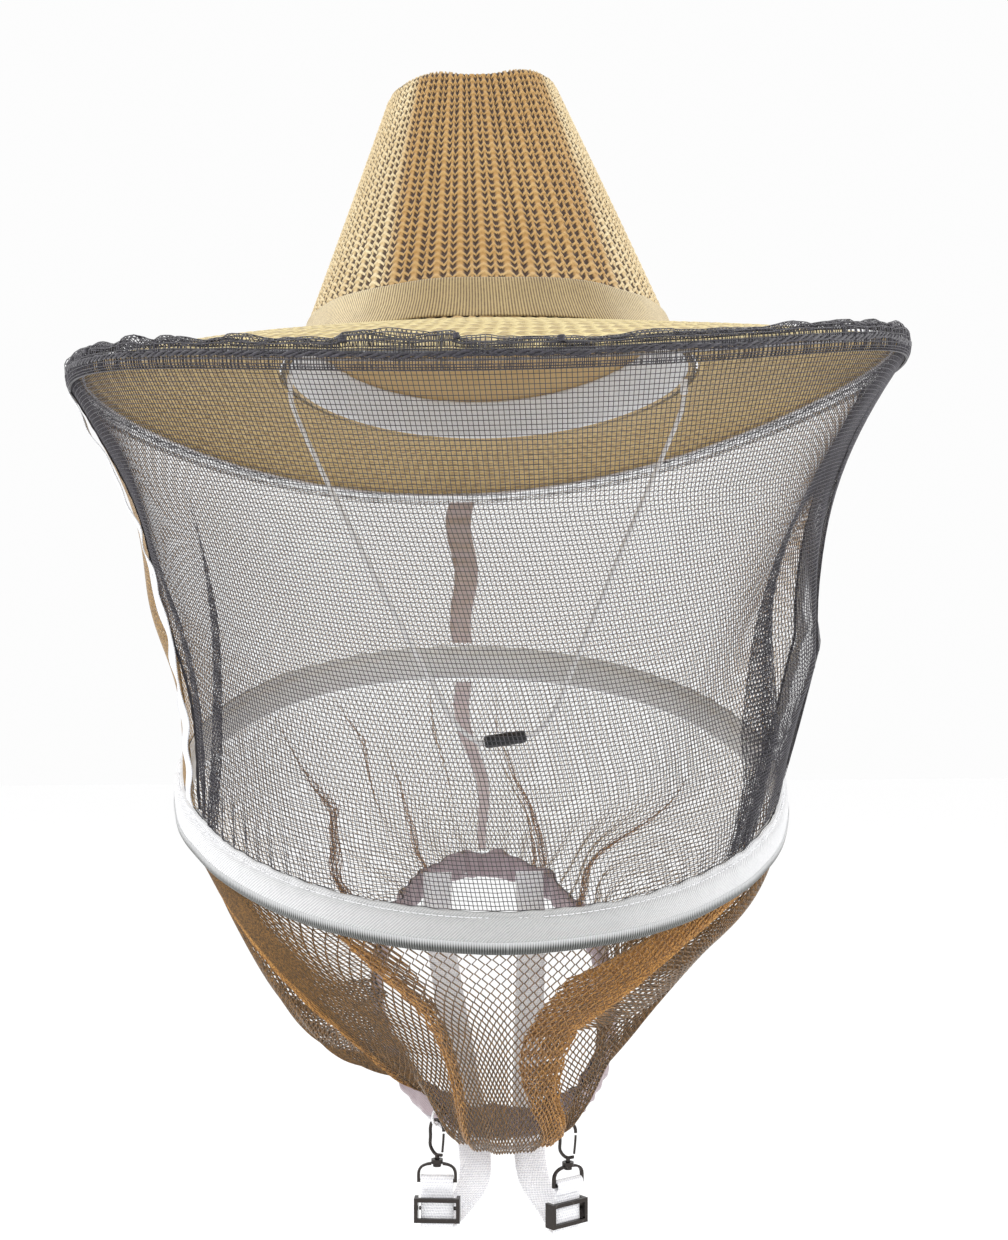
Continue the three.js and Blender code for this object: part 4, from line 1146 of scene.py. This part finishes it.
def make_chin_tab(side, sign, material):
    """A folded loop of tape sewn under the sweatband."""
    outline, rows = np.array(TAB_OUTLINE), 9
    y, k = grid(np.linspace(-TAB_DEPTH / 2, TAB_DEPTH / 2, rows), np.arange(len(outline)))
    edge = 1 - 0.12 * (np.abs(y) / (TAB_DEPTH / 2)) ** 6
    x = sign * CHIN_X + outline[k, 0] * TAB_WIDTH * edge
    z = CHIN_Z + TAB_CLEAR + (0.5 + (outline[k, 1] - 0.5) * edge) * TAB_HEIGHT
    end = np.array([(0, 1, 2, 3), (0, 3, 4, 7), (7, 4, 5, 6)])
    far_end = end[:, ::-1] + (rows - 1) * len(outline)
    faces = np.concatenate([grid_faces(*y.shape, closed_columns=True), end, far_end])
    piece(f"cord_tab_{side}", np.stack([x, y, z], -1), faces, material, "hat", "white_fabric",
          [f"chin_tab_{side}"], uv=np.stack([y * 1000, z * 1000], -1), rounded=False)


# ---------------- straps

WEB_WIDTH, WEB_THICKNESS, WEB_GAP = 0.0134, 0.0012, 0.0003
LOOP_RADIUS, LOOP_CORD, LOOP_UP, HOOK_WIRE = 0.0032, 0.0006, 0.0034, 0.0007
EYE_WIRE, EYE_BAR, STITCHED, SLIDER_TOP, SLIDER_HEIGHT = 0.0006, 0.0255, 0.0284, 0.032, 0.010
# Each side's sign, the angle of its thread loop, and how far its strap turns at the hook.
SIDES = {"left": (-1, -0.5, -0.14), "right": (1, 0.42, 0.6)}


def loop_centre(phi):
    """The middle of the thread loop at that angle, and the way out from the hem there."""
    a = np.array([phi])
    out = neck_out(a)[0]
    away = 0.0024 + WEB_GAP + LOOP_RADIUS + LOOP_CORD
    return neck_ring(a)[0] + out * away + np.array([0, 0, LOOP_UP]), out


def strap_stops(side):
    """The webbing's (place, widthways) from the back of the neck hem to the slider, round the swivel's bar
    and back to its stitching."""
    sign, phi, web = SIDES[side]
    loop, _ = loop_centre(phi)
    hub = loop + np.array([0, 0, -LOOP_RADIUS + LOOP_CORD + HOOK_WIRE + WEB_GAP + 0.0004])
    wide = np.array([math.cos(web), math.sin(web), 0])
    back = np.array([-wide[1], wide[0], 0])
    flat = np.array([1.0, 0, 0])

    def near(y, z):
        return hub + back * y + np.array([0, 0, z]), wide

    def plain(x, y, z):
        return np.array([sign * x, y, z]) / 1000, flat

    ply = (WEB_THICKNESS + WEB_GAP) / 2
    wrap = EYE_WIRE + WEB_GAP + WEB_THICKNESS / 2 + 0.00035
    bar = -EYE_BAR + EYE_WIRE
    low = -SLIDER_TOP - SLIDER_HEIGHT
    turned = np.array([hub[0] * 0.5 + sign * 0.0075, -0.087, -0.3725]), unit(lerp(flat, wide, 0.5))
    return [plain(22, 32.5, -246), plain(22, 31, -256), plain(22, 22, -269), plain(19, 0, -294),
            plain(15, -35, -322), plain(12, -64, -345), plain(13, -80, -362), turned,
            near(ply + 0.0018, low - 0.0028), near(ply, low), near(ply, -SLIDER_TOP - SLIDER_HEIGHT / 2),
            near(ply, -SLIDER_TOP), near(ply, -STITCHED), near(wrap, bar - 0.0006),
            near(wrap * 0.7, bar + wrap * 0.7), near(0, bar + wrap), near(-wrap * 0.7, bar + wrap * 0.7),
            near(-wrap, bar - 0.0006), near(-ply, -STITCHED + 0.0008), near(-ply, -STITCHED)]


# Half of the webbing's section, from one edge across its back, as shares of half its width and thickness.
WEB_SECTION = ((-1.0, -0.35), (-0.96, -1), (-0.5, -0.9), (0, -0.95), (0.5, -0.9), (0.96, -1), (1.0, -0.35))


def make_strap(side, material):
    stops, steps = strap_stops(side), 230
    route = spline([place for place, _ in stops], steps)
    wide = unit(spline([way for _, way in stops], steps))
    face = unit(np.cross(np.gradient(route, axis=0), wide))
    run = length_along(route)
    half = np.array(WEB_SECTION) * (WEB_WIDTH / 2, WEB_THICKNESS / 2)
    across, depth = np.concatenate([half, -half]).T
    points = route[:, None] + wide[:, None] * across[:, None] + face[:, None] * depth[:, None]
    along, across = grid(run * 1000, across * 1000)
    faces = grid_faces(*along.shape, closed_columns=True)
    strap = piece(f"webbing_{side}", points, faces, material, "veil_hoop", "white_fabric", [f"strap_{side}"],
                  uv=np.stack([across, along], -1))


def make_hem_loop(side, material):
    """Two twisted plies in a ring."""
    centre, out = loop_centre(SIDES[side][1])
    sideways = np.cross(out, (0, 0, 1))
    u = turns(96)
    plies = []
    for start in (0, PI):
        twist = u * 14 + start
        radius = LOOP_RADIUS + 0.00028 * np.cos(twist)
        line = centre + out * (radius * np.cos(u))[:, None] + up(u.shape, radius * np.sin(u))
        line = line + sideways * (0.00028 * np.sin(twist))[:, None]
        plies.append(tube(line, 0.00034, 8, reference=sideways, closed=True))
    piece(f"thread_loop_{side}", *merged(*plies), material, "veil_hoop", "white_fabric", [f"hem_loop_{side}"])


# ---------------- materials on the CAD parts

def metal_material(name, colour, roughness):
    n = Nodes(name, colour, roughness, metallic=1.0)
    wear = n.noise(500, 4, 0.6)
    worn = tuple(min(1, c * 3 + 0.05) for c in colour)
    n.colour(n.mix(n.step(wear, 0.6, 0.8), rgba(colour), rgba(worn)))
    n.rough(n.noise(1400, 2), roughness - 0.08, roughness + 0.15)
    n.bump(n.noise(2600, 2), 0.00005, 0.3)
    return n.material


def rubber_material(name, colour, roughness):
    n = Nodes(name, colour, roughness)
    grain = n.noise(1500, 3)
    dusty = tuple(c * 2.2 + 0.01 for c in colour)
    n.colour(n.mix(n.step(grain, 0.4, 0.8), rgba(colour), rgba(dusty)))
    n.rough(grain, roughness - 0.1, roughness + 0.15)
    n.bump(grain, 0.0001, 0.4)
    return n.material


def paint_cad(names, material):
    for name in names:
        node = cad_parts[name]
        node.data.materials.clear()
        node.data.materials.append(material)


# ---------------- the build

make_camera()
WHITE = cloth_material("white_twill", srgb(243, 244, 246), srgb(214, 216, 222), 0.9, 0.5)
CORD = cloth_material("white_braid", srgb(250, 250, 251), srgb(228, 228, 233), 1.4, 0.6)
BEAD = rubber_material("black_sleeve", srgb(20, 23, 27), 0.35)
make_chin_cord(CORD, BEAD)
make_stage()

BLACK = thread_material("black_thread", srgb(30, 27, 33), srgb(56, 52, 64), 0.5)
GOLD = thread_material("gold_thread", srgb(72, 50, 20), srgb(144, 103, 46), 0.36,
                       (srgb(126, 84, 34), srgb(208, 154, 78)))
# Painted light: the skirt's back half in a lighter copy of the gold net's colours.
LIT_GOLD = thread_material("gold_thread_painted_light", srgb(128, 106, 82), srgb(196, 172, 136), 0.4,
                             (srgb(138, 98, 52), srgb(186, 138, 82)))
PALE_GOLD = thread_material("pale_gold_thread", srgb(122, 94, 58), srgb(190, 152, 92), 0.4)
# Their last colours are the painted shade in the braid's holes.
STRAW_CLOTH = straw_material("braided_straw", srgb(255, 245, 208), srgb(206, 178, 128), srgb(72, 50, 28))
STRAW_BRIM = straw_material("spiral_straw", srgb(240, 226, 168), srgb(212, 190, 128), srgb(150, 120, 72), 0.6)
# Its last colour is painted shade over the ribbon's front.
RIBBON = cloth_material("ribbon", srgb(240, 222, 178), srgb(118, 92, 52), 1.4, 0.9, 0.7, ribs=1.0,
                        shade_tint=srgb(188, 178, 156))
PALE_MAUVE = cloth_material("pale_mauve_tape", srgb(232, 220, 224), srgb(192, 178, 184), 0.7, 0.5)
MAUVE = cloth_material("mauve_cloth", srgb(190, 174, 179), srgb(138, 122, 128), 0.7, 0.5)
# Its last colour is painted shade over the casing's front.
TWILL = cloth_material("casing_twill", srgb(246, 246, 247), srgb(208, 209, 212), 1.3, 0.9,
                       shade_tint=srgb(200, 200, 198))
# Painted shade on white cloth: the binding's two darker tones.
BINDING = binding_material("binding_painted_shade", srgb(200, 201, 202), srgb(96, 98, 95), srgb(30, 32, 30))
WEBBING = cloth_material("webbing", srgb(246, 246, 248), srgb(212, 212, 218), 1.1, 0.8, 0.8, ribs=0.6)
for setting, value in (("Weight", 0.6), ("Scale", 0.0015), ("Radius", (1, 1, 1))):
    WEBBING.node_tree.nodes["Principled BSDF"].inputs[f"Subsurface {setting}"].default_value = value
METAL = metal_material("gunmetal", srgb(62, 58, 56), 0.3)
STEEL = metal_material("spring_steel", srgb(150, 150, 155), 0.35)
ELASTIC = cloth_material("elastic_cord", srgb(226, 224, 226), srgb(180, 178, 184), 1.0, 0.6)

make_crown(STRAW_CLOTH)
make_brim(STRAW_BRIM)
make_hat_band(RIBBON)
make_sweatband(WHITE)
make_veil_hem(BLACK)
make_casing(TWILL, BINDING, CORD)
make_neck_hem(MAUVE)
blended = make_tapes(WHITE, PALE_MAUVE)
blended += [make_front_veil(BLACK), make_back_veil(PALE_GOLD)]
make_skirt(GOLD, LIT_GOLD)
for side in SIDES:
    make_strap(side, WEBBING)
    make_hem_loop(side, CORD)
paint_cad(["brim_wire", "hoop_wire", "hoop_ferrule"], STEEL)
paint_cad(["hem_elastic", "neck_elastic"], ELASTIC)
paint_cad([f"{part}_{side}" for side in SIDES for part in
           ("hook", "hook_gate", "swivel_eye", "slider_frame", "slider_bar")], METAL)

for cloth in blended:
    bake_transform(cloth)
